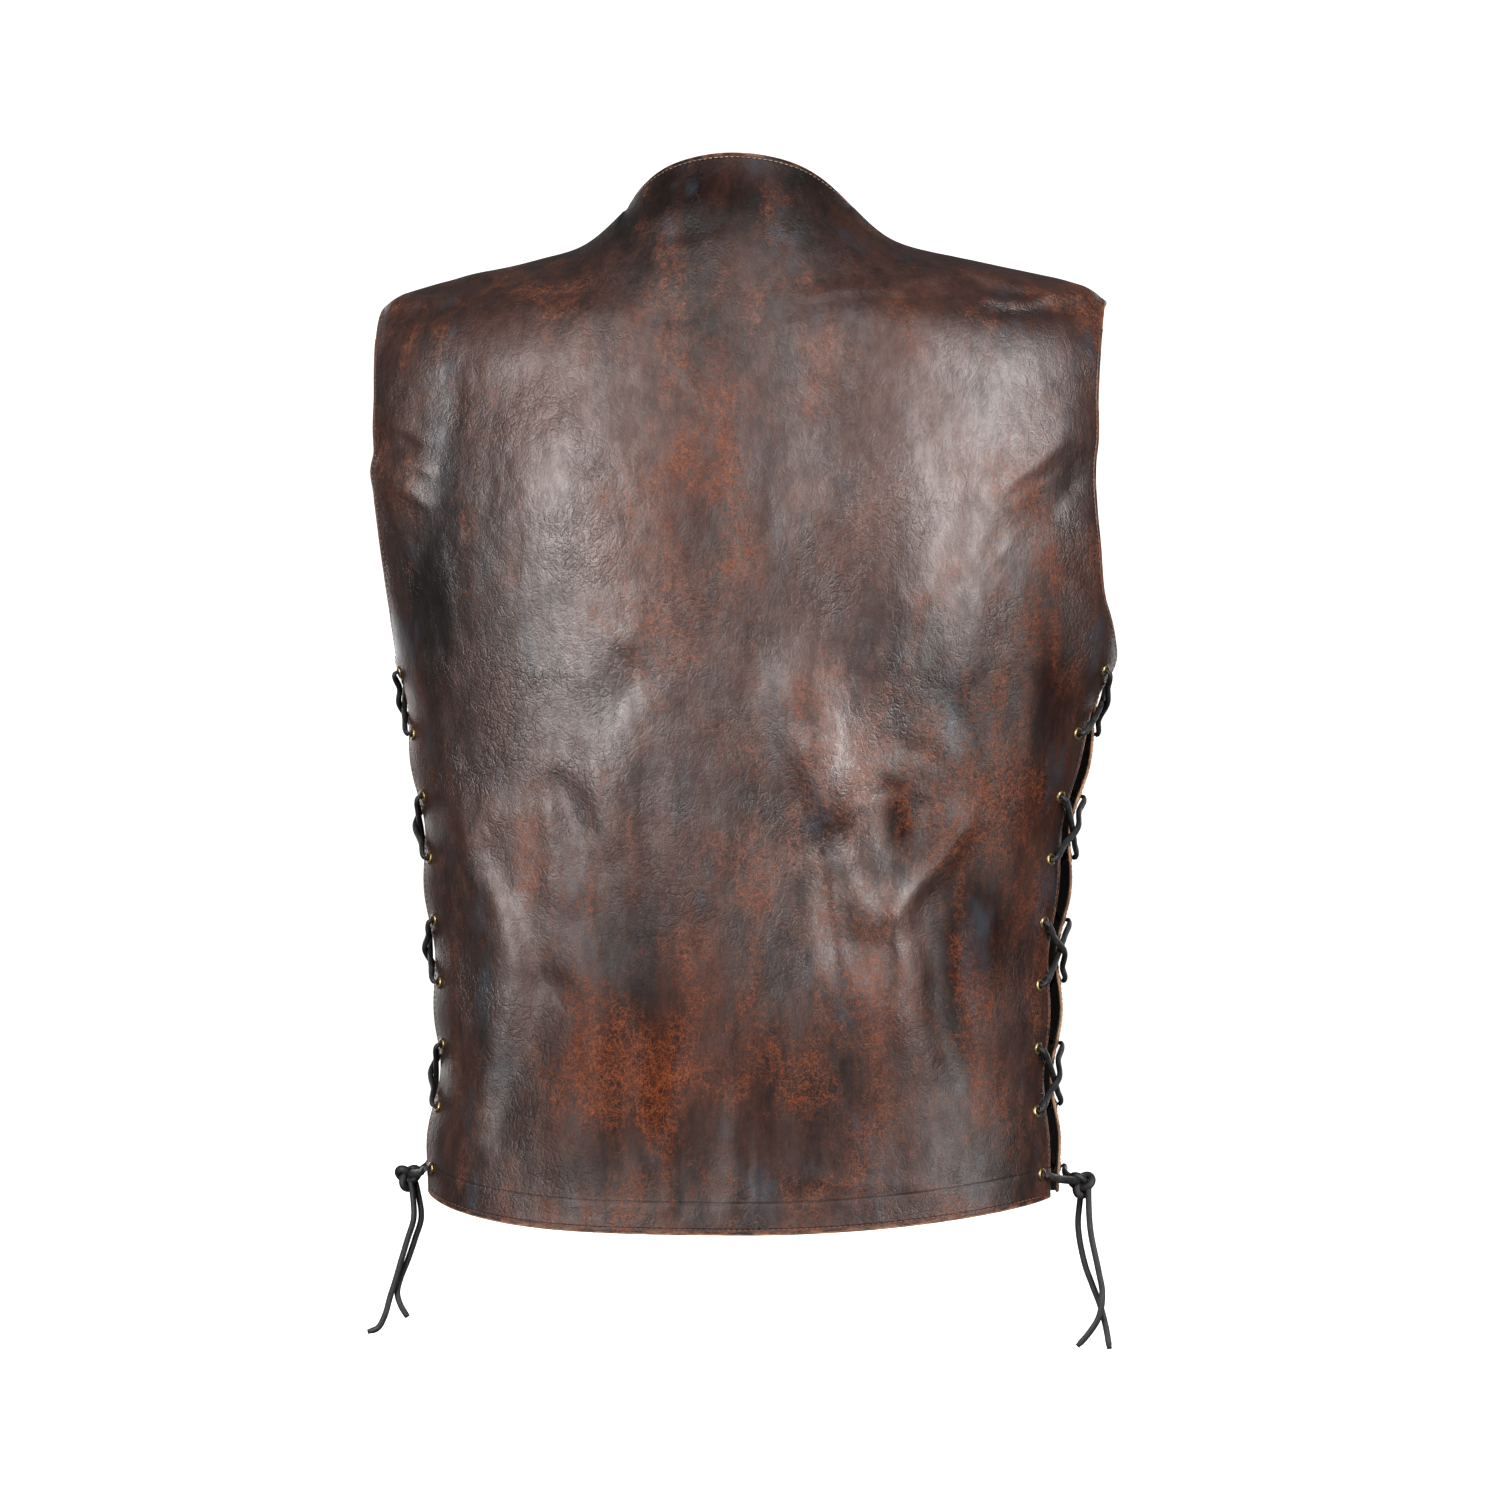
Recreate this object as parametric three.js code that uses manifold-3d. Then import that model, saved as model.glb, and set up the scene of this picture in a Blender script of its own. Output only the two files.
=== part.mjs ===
// Laced leather vest in the form it takes when worn, in millimetres, +Z up and the front facing -Y.
// The origin lies on the wearer's shoulder line, midway between the two shoulders.
// Wearer's left is +X. Every panel is a thin wall with an outer and an inner surface.
import * as THREE from 'three';
import { mergeVertices } from 'three/addons/utils/BufferGeometryUtils.js';
import Module from 'manifold-3d';

const wasm = await Module();
wasm.setup();

// Driving sizes
const WALL = 2;
const GAP = 0.3;
const HEM_Z = -580;
const HEM_DROP = { back: 18, front: 14, leftPower: 4, rightPower: 2 };
const YOKE_Z = -70;
const JUST_BELOW_YOKE = 0.99;
const ROUNDNESS = 2.3;

// Neck and shoulders, as seen from behind
// NECK.share is the part of the back's upper edge that is neckline; the lean is how the leather
// arrives at that edge, first at the middle of the neck and then how far it changes to the seam
const NECK = { half: 72, back: 58, y: 4, topZ: 68.5, share: 0.27, leanIn: 0.35, leanUp: 0.94 };
const NECK_LEAN_CHANGE = { in: 0.65, up: -1.04 };
const SHOULDER = { half: 230, y: -6, inset: 36.5, slope: 0.215, humpWidth: 78, humpPower: 4.6, crown: 25,
  tipRound: 2, tipReach: 34 };
const SEAM = { fall: 0.1, apart: 0.7 * GAP };

// Front edges: how far one front reaches past the middle, and where the V neck starts
const FRONT_EDGE = { overlap: 15, vNeckZ: -200, yokeX: 38, liftFrom: 20, liftTo: 62 };

// Lacing: eyelets per edge, their spacing and the top one's height
const LACING = { count: 9, pitch: 39.1, topZ: -253, scallop: 2.5, scallopReach: 0.2, gapWave: 2, foldsEnd: 0.94,
  foldsFull: 0.8, waveStart: 6, waveFull: 12 };
const UNDERARM_Z = LACING.topZ + LACING.pitch / 4;
const EYELET = { flange: 4.1, barrel: 2.6, bore: 2.1, height: 1, hole: 3.2, sides: 8, holeSides: 6 };
const LACE = { radius: 1.5, sides: 6, outside: 3.3, inside: 4.6, overEdge: 2.6, corner: 1.6, endSides: 8, endStep: 9 };
const CROSSING = { over: 7, under: 3.4, edgeShare: 0.24 };
const KNOT = { ring: 4.9, cord: 2.1, stand: 13, z: -575, entry: { in: 2, apart: 3, up: 2 }, sides: 5, steps: 9 };
const LAST_PULL = { down: 3, out: 3.8 };
const SNAP = { radius: 7.5, height: 3, topZ: -222, pitch: 104, count: 4, sides: 10 };
// Snap cap from its foot to its middle: share of the radius and of the height
const SNAP_PROFILE = [[0, 0], [0.92, 0], [1, 0.2], [0.87, 0.6], [0.55, 0.9], [0, 1]];
const IN_FRONT_OF_VEST = -400;

// Body form by height: half width, how deep the back and the front lie from the middle plane,
// and how far the section stands to the wearer's left of it
const TORSO = [
  { z: -600, half: 204, back: 112, front: 113, shift: 0 },
  { z: -540, half: 199, back: 108, front: 113, shift: 0 },
  { z: -490, half: 197, back: 105, front: 114, shift: -2.5 },
  { z: -416, half: 202, back: 104, front: 115, shift: -1.5 },
  { z: -334, half: 210.5, back: 108, front: 119, shift: -3 },
  { z: -243, half: 227, back: 117, front: 125, shift: -6 },
  { z: -180, half: 237, back: 121, front: 122, shift: -2.5 },
  { z: -125, half: 240, back: 120, front: 112, shift: -0.5 },
  { z: -70, half: 242, back: 111, front: 94, shift: 0 },
];

// Side edges, laced below the underarm and armhole above it: distance of each from the middle plane
const SIDE_EDGES = [
  { z: -600, back: 29, front: 5 },
  { z: -340, back: 30, front: 5 },
  { z: -280, back: 25, front: 8 },
  { z: UNDERARM_Z, back: 15, front: 14 },
  { z: -232, back: 23, front: 27 },
  { z: -210, back: 36, front: 47 },
  { z: -170, back: 46, front: 62 },
  { z: -120, back: 49, front: 64 },
  { z: -70, back: 46, front: 54 },
];

// Broad swells over the body form: centre, reach each way and height outwards
const BACK_SWELLS = [
  { x: 96, z: -140, rx: 48, rz: 95, out: 7 },
  { x: -98, z: -150, rx: 50, rz: 100, out: 7 },
  { x: -232, z: -243, rx: 26, rz: 34, out: 6 },
  { x: 225, z: -130, rx: 26, rz: 45, out: 4 },
  { x: -110, z: -455, rx: 28, rz: 60, out: 4 },
  { x: 150, z: -470, rx: 30, rz: 70, out: 4 },
  { x: 20, z: -430, rx: 50, rz: 60, out: -3 },
];
const FRONT_SWELLS = [
  { x: 95, z: -175, rx: 60, rz: 70, out: 7 },
  { x: 90, z: -430, rx: 55, rz: 70, out: 4 },
];

// Folds in the back: from one end to the other, with half width and height (a trough is negative)
const BACK_FOLDS = [
  { x0: -48, z0: -282, x1: -102, z1: -380, width: 12, rise: 5 },
  { x0: -54, z0: -335, x1: -96, z1: -433, width: 13, rise: -5 },
  { x0: -105, z0: -380, x1: -142, z1: -331, width: 11, rise: 4 },
  { x0: -105, z0: -382, x1: -107, z1: -440, width: 10, rise: 3.5 },
  { x0: -91, z0: -322, x1: -112, z1: -350, width: 17, rise: -4 },
  { x0: -147, z0: -272, x1: -131, z1: -407, width: 15, rise: -4 },
  { x0: -120, z0: -405, x1: -139, z1: -506, width: 11, rise: -3.5 },
  { x0: -141, z0: -415, x1: -154, z1: -500, width: 11, rise: 2.5 },
  { x0: 168, z0: -339, x1: 127, z1: -429, width: 15, rise: 4.5 },
  { x0: 148, z0: -363, x1: 116, z1: -445, width: 10, rise: -5 },
  { x0: 116, z0: -445, x1: 141, z1: -540, width: 11, rise: -5 },
  { x0: 104, z0: -320, x1: 92, z1: -352, width: 8, rise: -4 },
  { x0: 80, z0: -312, x1: 76, z1: -360, width: 9, rise: 2.5 },
  { x0: 108, z0: -340, x1: 104, z1: -395, width: 9, rise: 2.5 },
  { x0: 83, z0: -285, x1: 56, z1: -250, width: 10, rise: -2.5 },
  { x0: 66, z0: -240, x1: 50, z1: -205, width: 9, rise: 2 },
  { x0: -219, z0: -98, x1: -160, z1: -150, width: 13, rise: 3.5 },
  { x0: -222, z0: -125, x1: -168, z1: -176, width: 12, rise: -3 },
  { x0: -185, z0: -196, x1: -150, z1: -290, width: 14, rise: -2.5 },
  { x0: 226, z0: -126, x1: 196, z1: -140, width: 8, rise: 3 },
  { x0: 226, z0: -112, x1: 198, z1: -118, width: 7, rise: -2.5 },
  { x0: 205, z0: -165, x1: 203, z1: -236, width: 15, rise: -4 },
  { x0: 172, z0: -60, x1: 176, z1: -170, width: 14, rise: -3 },
  { x0: 50, z0: -468, x1: 48, z1: -575, width: 9, rise: 2 },
  { x0: -8, z0: -515, x1: -6, z1: -590, width: 9, rise: 2 },
  { x0: -60, z0: -440, x1: -52, z1: -560, width: 14, rise: 2.5 },
  { x0: 86, z0: -470, x1: 92, z1: -575, width: 13, rise: 2.5 },
  { x0: 152, z0: -2, x1: 92, z1: 2, width: 10, rise: -2.5 },
  { x0: -212, z0: -40, x1: -140, z1: -46, width: 10, rise: -4 },
  { x0: -206, z0: -18, x1: -112, z1: -20, width: 10, rise: 3 },
];

// Folds in the wearer's left front; the right front has its own, so the two sides stay uneven
const LEFT_FRONT_FOLDS = [
  { x0: 10, z0: -325, x1: 78, z1: -352, width: 13, rise: 3 },
  { x0: 12, z0: -345, x1: 66, z1: -384, width: 12, rise: -3 },
  { x0: 12, z0: -430, x1: 74, z1: -462, width: 13, rise: -3 },
  { x0: 150, z0: -330, x1: 118, z1: -430, width: 14, rise: -4 },
  { x0: 172, z0: -345, x1: 148, z1: -450, width: 13, rise: 3.5 },
  { x0: 118, z0: -440, x1: 132, z1: -545, width: 13, rise: -4 },
  { x0: 80, z0: -455, x1: 88, z1: -560, width: 14, rise: 3 },
  { x0: 196, z0: -150, x1: 150, z1: -205, width: 13, rise: -3.5 },
  { x0: 202, z0: -200, x1: 150, z1: -250, width: 12, rise: 3 },
  { x0: 60, z0: -130, x1: 96, z1: -60, width: 12, rise: -3 },
  { x0: 210, z0: -30, x1: 140, z1: -40, width: 11, rise: -3 },
];
const RIGHT_FRONT_FOLDS = [
  { x0: 12, z0: -300, x1: 84, z1: -336, width: 14, rise: -3 },
  { x0: 14, z0: -398, x1: 80, z1: -420, width: 13, rise: 3 },
  { x0: 158, z0: -318, x1: 128, z1: -400, width: 14, rise: 3.5 },
  { x0: 136, z0: -345, x1: 104, z1: -440, width: 13, rise: -4 },
  { x0: 104, z0: -440, x1: 118, z1: -535, width: 12, rise: -3.5 },
  { x0: 146, z0: -452, x1: 150, z1: -560, width: 14, rise: 3 },
  { x0: 198, z0: -140, x1: 142, z1: -190, width: 13, rise: 3 },
  { x0: 200, z0: -185, x1: 156, z1: -262, width: 13, rise: -3.5 },
  { x0: 56, z0: -120, x1: 88, z1: -66, width: 12, rise: -2.5 },
  { x0: 204, z0: -24, x1: 132, z1: -32, width: 11, rise: -3 },
];

// Turns of the pulled tight knot: how each lies and how much tighter it is than the first
const KNOT_TURNS = [
  { tilt: 0.35, roll: 0.2, tighter: 0 },
  { tilt: -0.75, roll: 0.9, tighter: 0.6 },
  { tilt: 1.25, roll: -0.5, tighter: 1.4 },
];

// Hanging lace ends: each route starts inside its knot and falls freely
const LACE_ENDS = {
  left_outer: [
    [213, 2, -577], [211.8, 2.2, -584], [210.8, 2.4, -601], [215, 2, -615], [219, 1.6, -628],
    [223.5, 1, -643], [226.5, 0.6, -652], [230, 0.4, -664], [234.6, 0.2, -672], [241, 0, -674.5],
  ],
  left_inner: [
    [211, -2, -577], [209.2, -2.2, -584], [206.8, -2.4, -601], [210.6, -2.6, -614],
    [215.4, -2.8, -628], [220.6, -2.8, -641], [222.4, -2.8, -650], [220, -2.6, -658], [215.6, -2.4, -665],
  ],
  right_outer: [
    [-219.4, 2.4, -577], [-219.4, 2.6, -584], [-220.6, 3, -604], [-225.6, 3, -629],
    [-228, 2.8, -643], [-226, 2.6, -658], [-219.4, 2.4, -669], [-212.4, 2.2, -677],
  ],
  right_inner: [
    [-214.6, -2.4, -577], [-214, -2.6, -584], [-212.6, -3, -602], [-216.6, -3, -625],
    [-221.6, -2.8, -639], [-226.6, -2.4, -652], [-230, -2.2, -665], [-232.4, -2, -679],
  ],
};

const LEATHER = { color: 0x4a342c, roughness: 0.5, metalness: 0 };
const BRASS = { color: 0x8a6a3a, roughness: 0.35, metalness: 1 };
const BLACK_LACE = { color: 0x14110f, roughness: 0.6, metalness: 0 };

// Value of a table's column at a height, on a smooth curve through its rows
function readColumn(table, key, at) {
  const last = table.length - 1;
  const clamped = Math.min(Math.max(at, table[0].z), table[last].z);
  let i = 0;
  while (i < last - 1 && table[i + 1].z < clamped) i += 1;
  const slope = (j) => {
    const low = table[Math.max(j - 1, 0)];
    const high = table[Math.min(j + 1, last)];
    return (high[key] - low[key]) / (high.z - low.z);
  };
  const span = table[i + 1].z - table[i].z;
  const t = (clamped - table[i].z) / span;
  return hermite(t, table[i][key], slope(i) * span, table[i + 1][key], slope(i + 1) * span);
}

function hermite(t, p0, m0, p1, m1) {
  const t2 = t * t;
  const t3 = t2 * t;
  return (2 * t3 - 3 * t2 + 1) * p0 + (t3 - 2 * t2 + t) * m0 + (3 * t2 - 2 * t3) * p1 + (t3 - t2) * m1;
}

function smoothStep(from, to, at) {
  const t = Math.min(Math.max((at - from) / (to - from), 0), 1);
  return t * t * (3 - 2 * t);
}

// Height of the vest's top outline at a distance from the middle: neck hump, then shoulder slope
function topOutline(x) {
  const d = Math.abs(x);
  const hump = SHOULDER.inset * Math.exp(-((d / SHOULDER.humpWidth) ** SHOULDER.humpPower));
  const tip = SHOULDER.tipRound * smoothStep(SHOULDER.half - SHOULDER.tipReach, SHOULDER.half, d);
  const fall = SHOULDER.slope * (Math.hypot(d, SHOULDER.crown) - SHOULDER.crown);
  return NECK.topZ - SHOULDER.inset + hump - fall - tip;
}

// Wave of the laced edges: 1 where a crossing pulls them in, -1 where they bulge between
function laceWave(z) {
  const crossing = LACING.topZ - LACING.pitch / 2;
  const strength = smoothStep(UNDERARM_Z + LACING.waveStart, UNDERARM_Z - LACING.waveFull, z);
  return Math.cos((Math.PI * (z - crossing)) / LACING.pitch) * strength;
}

function edgeDistance(face, z) {
  return readColumn(SIDE_EDGES, face, z) - LACING.gapWave * laceWave(z);
}

function edgeAngle(face, z) {
  const ratio = edgeDistance(face, z) / readColumn(TORSO, face, z);
  return Math.asin((1 - ratio ** ROUNDNESS) ** (1 / ROUNDNESS));
}

function foldRise(folds, x, z) {
  let rise = 0;
  for (const fold of folds) {
    const along = new THREE.Vector2(fold.x1 - fold.x0, fold.z1 - fold.z0);
    const from = new THREE.Vector2(x - fold.x0, z - fold.z0);
    const t = Math.min(Math.max(from.dot(along) / along.lengthSq(), 0), 1);
    const distance = from.addScaledVector(along, -t).length();
    rise += fold.rise * Math.exp(-((distance / fold.width) ** 2));
  }
  return rise;
}

function swellRise(swells, x, z) {
  let rise = 0;
  for (const swell of swells) {
    rise += swell.out * Math.exp(-(((x - swell.x) / swell.rx) ** 2) - ((z - swell.z) / swell.rz) ** 2);
  }
  return rise;
}

// Point of the body form at an angle round from the middle of the back or front
function formPoint(face, angle, z) {
  const side = Math.sin(angle);
  const depth = (1 - Math.abs(side) ** ROUNDNESS) ** (1 / ROUNDNESS) * readColumn(TORSO, face, z);
  const y = face === 'back' ? depth : -depth;
  return new THREE.Vector3(readColumn(TORSO, 'half', z) * side, y, z);
}

function frontInnerAngle(z) {
  const up = Math.max(z - FRONT_EDGE.vNeckZ, 0) / (YOKE_Z - FRONT_EDGE.vNeckZ);
  const x = -FRONT_EDGE.overlap + (FRONT_EDGE.yokeX + FRONT_EDGE.overlap) * up;
  return Math.asin(x / readColumn(TORSO, 'half', z));
}

// Angle at a place across the panel: back from -1 to 1, front from its free edge 0 to its side 1
function angleAcross(face, across, z) {
  if (face === 'back') return across * edgeAngle(face, z);
  const inner = frontInnerAngle(z);
  return inner + across * (edgeAngle(face, z) - inner);
}

// Below the yoke the rows run level, easing into the curve of the hem
function lowerPoint(face, across, up) {
  const level = HEM_Z + up * (YOKE_Z - HEM_Z);
  const side = Math.sin(angleAcross(face, across, level));
  const power = side < 0 ? HEM_DROP.rightPower : HEM_DROP.leftPower;
  const z = level - (1 - up) * HEM_DROP[face] * (1 - Math.abs(side) ** power);
  return formPoint(face, angleAcross(face, across, z), z);
}

// Upper edge of the back: back neckline up to the neck points, then the shoulder seams
function backTop(across) {
  const sign = Math.sign(across);
  const share = Math.abs(across);
  if (share <= NECK.share) {
    const done = share / NECK.share;
    const turn = (done * Math.PI) / 2;
    const x = NECK.half * Math.sin(turn);
    const leanIn = NECK.leanIn + NECK_LEAN_CHANGE.in * done ** 2;
    const leanUp = NECK.leanUp + NECK_LEAN_CHANGE.up * done ** 2;
    const at = new THREE.Vector3(sign * x, NECK.y + NECK.back * Math.cos(turn), topOutline(x));
    return { at, lean: new THREE.Vector3(0, -leanIn, leanUp) };
  }
  const seam = seamPoint((share - NECK.share) / (1 - NECK.share));
  seam.x *= sign;
  seam.y += SEAM.apart;
  return { at: seam, lean: new THREE.Vector3(0, -1, -SEAM.fall) };
}

function seamPoint(t) {
  const x = NECK.half + (SHOULDER.half - NECK.half) * t;
  return new THREE.Vector3(x, NECK.y + (SHOULDER.y - NECK.y) * t, topOutline(x));
}

function frontTop(across) {
  const seam = seamPoint(across);
  seam.y -= SEAM.apart;
  return { at: seam, lean: new THREE.Vector3(0, 1, -SEAM.fall) };
}

// Above the yoke each column rounds over the shoulder to the panel's upper edge
function upperPoint(face, across, up) {
  const start = lowerPoint(face, across, 1);
  const before = lowerPoint(face, across, JUST_BELOW_YOKE);
  const top = face === 'back' ? backTop(across) : frontTop(across);
  const reach = start.distanceTo(top.at);
  const rise = start.clone().sub(before).setLength(reach);
  const lean = top.lean.clone().setLength(reach);
  return new THREE.Vector3(
    hermite(up, start.x, rise.x, top.at.x, lean.x),
    hermite(up, start.y, rise.y, top.at.y, lean.y),
    hermite(up, start.z, rise.z, top.at.z, lean.z),
  );
}

// Rows by height at the side edge, so that each eyelet sits in the middle of a flat cell
const ARMHOLE_ROWS = [-232, -217, -178, -153, -126, -98];
function lowerRows() {
  const rows = [0];
  for (let k = 2 * LACING.count - 1; k >= 0; k -= 1) {
    rows.push((UNDERARM_Z - (k * LACING.pitch) / 2 - HEM_Z) / (YOKE_Z - HEM_Z));
  }
  for (const z of [...ARMHOLE_ROWS, FRONT_EDGE.vNeckZ]) {
    rows.push((z - HEM_Z) / (YOKE_Z - HEM_Z));
  }
  rows.sort((a, b) => a - b);
  return rows;
}
const LOWER_ROWS = lowerRows();
const UPPER_ROWS = [0, 0.2, 0.4, 0.6, 0.79, 0.95, 1];

// Columns, closer at the laced edges, where the last but one cell carries the eyelets
const BACK_HALF_COLUMNS = [0.055, 0.11, 0.165, 0.22, NECK.share, 0.335, 0.4, 0.47, 0.545, 0.625, 0.71, 0.8, 0.89,
  0.963, 1];
const BACK_COLUMNS = [...BACK_HALF_COLUMNS.map((s) => -s).reverse(), 0, ...BACK_HALF_COLUMNS];
const FRONT_COLUMNS = [0, 0.08, 0.16, 0.24, 0.32, 0.4, 0.48, 0.56, 0.64, 0.72, 0.81, 0.899, 0.966, 1];

// Grid of a panel's outer surface; side is 1 for the wearer's left, -1 for the right
function panelGrid(face, side, columns, folds, swells, lift) {
  const base = [];
  for (const up of LOWER_ROWS) base.push(columns.map((s) => lowerPoint(face, s, up)));
  for (const up of UPPER_ROWS) base.push(columns.map((s) => upperPoint(face, s, up)));
  const outward = gridNormals(base, face === 'back');
  const grid = base.map((row, r) => row.map((point, c) => {
    const nearEdge = Math.exp(-(1 - Math.abs(columns[c])) / LACING.scallopReach);
    const scallop = -LACING.scallop * laceWave(point.z) * nearEdge;
    const seamHold = smoothStep(base.length - 1, base.length - 4, r);
    const laceHold = point.z > UNDERARM_Z ? 1 : smoothStep(LACING.foldsEnd, LACING.foldsFull, Math.abs(columns[c]));
    const overlapHold = face === 'back' ? 1 : smoothStep(FRONT_EDGE.liftFrom, FRONT_EDGE.liftTo, point.x);
    const x = face === 'back' ? point.x : Math.abs(point.x);
    const rise = foldRise(folds, x, point.z) * laceHold * overlapHold + swellRise(swells, x, point.z);
    return point.clone().addScaledVector(outward[r][c], rise * seamHold + scallop + lift(point));
  }));
  for (const point of grid.flat()) point.x = side * point.x + readColumn(TORSO, 'shift', point.z);
  return grid;
}

function gridNormals(grid, flip) {
  return grid.map((row, r) => row.map((_, c) => {
    const across = row[Math.min(c + 1, row.length - 1)].clone().sub(row[Math.max(c - 1, 0)]);
    const up = grid[Math.min(r + 1, grid.length - 1)][c].clone().sub(grid[Math.max(r - 1, 0)][c]);
    const normal = across.cross(up).normalize();
    return flip ? normal.negate() : normal;
  }));
}

function solidFromArrays(positions, triangles) {
  const mesh = new wasm.Mesh({
    numProp: 3,
    vertProperties: Float32Array.from(positions),
    triVerts: Uint32Array.from(triangles),
  });
  return new wasm.Manifold(mesh);
}

function solidFromGeometry(geometry) {
  const bare = geometry.clone();
  bare.deleteAttribute('normal');
  bare.deleteAttribute('uv');
  const merged = mergeVertices(bare, 1e-4);
  return solidFromArrays(merged.attributes.position.array, merged.index.array);
}

function geometryFromSolid(solid) {
  const mesh = solid.getMesh();
  const geometry = new THREE.BufferGeometry();
  geometry.setAttribute('position', new THREE.BufferAttribute(mesh.vertProperties, 3));
  geometry.setIndex(new THREE.BufferAttribute(mesh.triVerts, 1));
  geometry.computeVertexNormals();
  return geometry;
}

// Closed wall between a grid and the same grid moved inwards by the wall's thickness
function wallSolid(grid, flip) {
  const normals = gridNormals(grid, flip);
  const rows = grid.length;
  const columns = grid[0].length;
  const positions = [];
  for (const row of grid) for (const p of row) positions.push(p.x, p.y, p.z);
  grid.forEach((row, r) => row.forEach((p, c) => {
    const inner = p.clone().addScaledVector(normals[r][c], -WALL);
    positions.push(inner.x, inner.y, inner.z);
  }));
  const outer = (r, c) => r * columns + c;
  const inner = (r, c) => rows * columns + r * columns + c;
  const triangles = [];
  const quad = (a, b, c, d) => {
    if (flip) triangles.push(a, c, b, a, d, c);
    else triangles.push(a, b, c, a, c, d);
  };
  for (let r = 0; r < rows - 1; r += 1) {
    for (let c = 0; c < columns - 1; c += 1) {
      quad(outer(r, c), outer(r, c + 1), outer(r + 1, c + 1), outer(r + 1, c));
      quad(inner(r, c), inner(r + 1, c), inner(r + 1, c + 1), inner(r, c + 1));
    }
  }
  for (let c = 0; c < columns - 1; c += 1) {
    quad(inner(0, c), inner(0, c + 1), outer(0, c + 1), outer(0, c));
    quad(outer(rows - 1, c), outer(rows - 1, c + 1), inner(rows - 1, c + 1), inner(rows - 1, c));
  }
  for (let r = 0; r < rows - 1; r += 1) {
    quad(inner(r, 0), outer(r, 0), outer(r + 1, 0), inner(r + 1, 0));
    quad(outer(r, columns - 1), inner(r, columns - 1), inner(r + 1, columns - 1), outer(r + 1, columns - 1));
  }
  return solidFromArrays(positions, triangles);
}

// Middle of a grid cell with its outward direction, and a way to step out from it
function cellSpot(grid, row, column, flip) {
  const corners = [grid[row][column], grid[row][column + 1], grid[row + 1][column + 1], grid[row + 1][column]];
  const centre = new THREE.Vector3();
  corners.forEach((corner) => centre.addScaledVector(corner, 0.25));
  const across = corners[1].clone().add(corners[2]).sub(corners[0]).sub(corners[3]);
  const up = corners[3].clone().add(corners[2]).sub(corners[0]).sub(corners[1]);
  const normal = across.cross(up).normalize();
  if (flip) normal.negate();
  const diagonal = corners[0].clone().lerp(corners[2], 0.5).sub(centre).dot(normal);
  centre.addScaledVector(normal, Math.max(0, diagonal));
  return { centre, normal, out: (h) => centre.clone().addScaledVector(normal, h) };
}

const noLift = () => 0;
const overlapLift = (p) => (WALL + 2 * GAP) * (1 - smoothStep(FRONT_EDGE.liftFrom, FRONT_EDGE.liftTo, p.x));
const GRIDS = {
  back: panelGrid('back', 1, BACK_COLUMNS, BACK_FOLDS, BACK_SWELLS, noLift),
  front_left: panelGrid('front', 1, FRONT_COLUMNS, LEFT_FRONT_FOLDS, FRONT_SWELLS, overlapLift),
  front_right: panelGrid('front', -1, FRONT_COLUMNS, RIGHT_FRONT_FOLDS, FRONT_SWELLS, noLift),
};
const FLIPS = { back: true, front_left: false, front_right: true };

// Spot of an eyelet, counted from the top, on one edge of one side
function eyeletSpot(edge, side, index) {
  const row = 1 + 2 * (LACING.count - 1 - index);
  const panel = edge === 'back' ? 'back' : side > 0 ? 'front_left' : 'front_right';
  const columns = GRIDS[panel][0].length;
  const column = edge === 'back' && side < 0 ? 1 : columns - 3;
  return cellSpot(GRIDS[panel], row, column, FLIPS[panel]);
}

// Spot on a panel's laced edge at a height, between the two grid rows that hold it
function edgeSpot(edge, side, z) {
  const panel = edge === 'back' ? 'back' : side > 0 ? 'front_left' : 'front_right';
  const grid = GRIDS[panel];
  const column = edge === 'back' && side < 0 ? 0 : grid[0].length - 1;
  let row = 0;
  while (grid[row + 1][column].z < z) row += 1;
  const low = grid[row][column];
  const high = grid[row + 1][column];
  const centre = low.clone().lerp(high, (z - low.z) / (high.z - low.z));
  const cell = cellSpot(grid, row, Math.min(column, grid[0].length - 2), FLIPS[panel]);
  return { out: (h) => centre.clone().addScaledVector(cell.normal, h) };
}

function orientTo(geometry, position, direction) {
  const turn = new THREE.Quaternion().setFromUnitVectors(new THREE.Vector3(0, 1, 0), direction);
  return geometry.applyQuaternion(turn).translate(position.x, position.y, position.z);
}

function eyeletGeometry(spot) {
  const top = GAP + EYELET.height;
  const profile = [
    [EYELET.bore, -WALL - GAP], [EYELET.barrel, -WALL - GAP], [EYELET.barrel, GAP],
    [EYELET.flange, GAP], [EYELET.bore, top], [EYELET.bore, -WALL - GAP],
  ];
  const lathe = new THREE.LatheGeometry(profile.map(([r, h]) => new THREE.Vector2(r, h)), EYELET.sides);
  return orientTo(lathe, spot.centre, spot.normal);
}

function eyeletHole(spot) {
  const drill = new THREE.CylinderGeometry(EYELET.hole, EYELET.hole, 4 * WALL, EYELET.holeSides);
  return solidFromGeometry(orientTo(drill, spot.centre, spot.normal));
}

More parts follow.
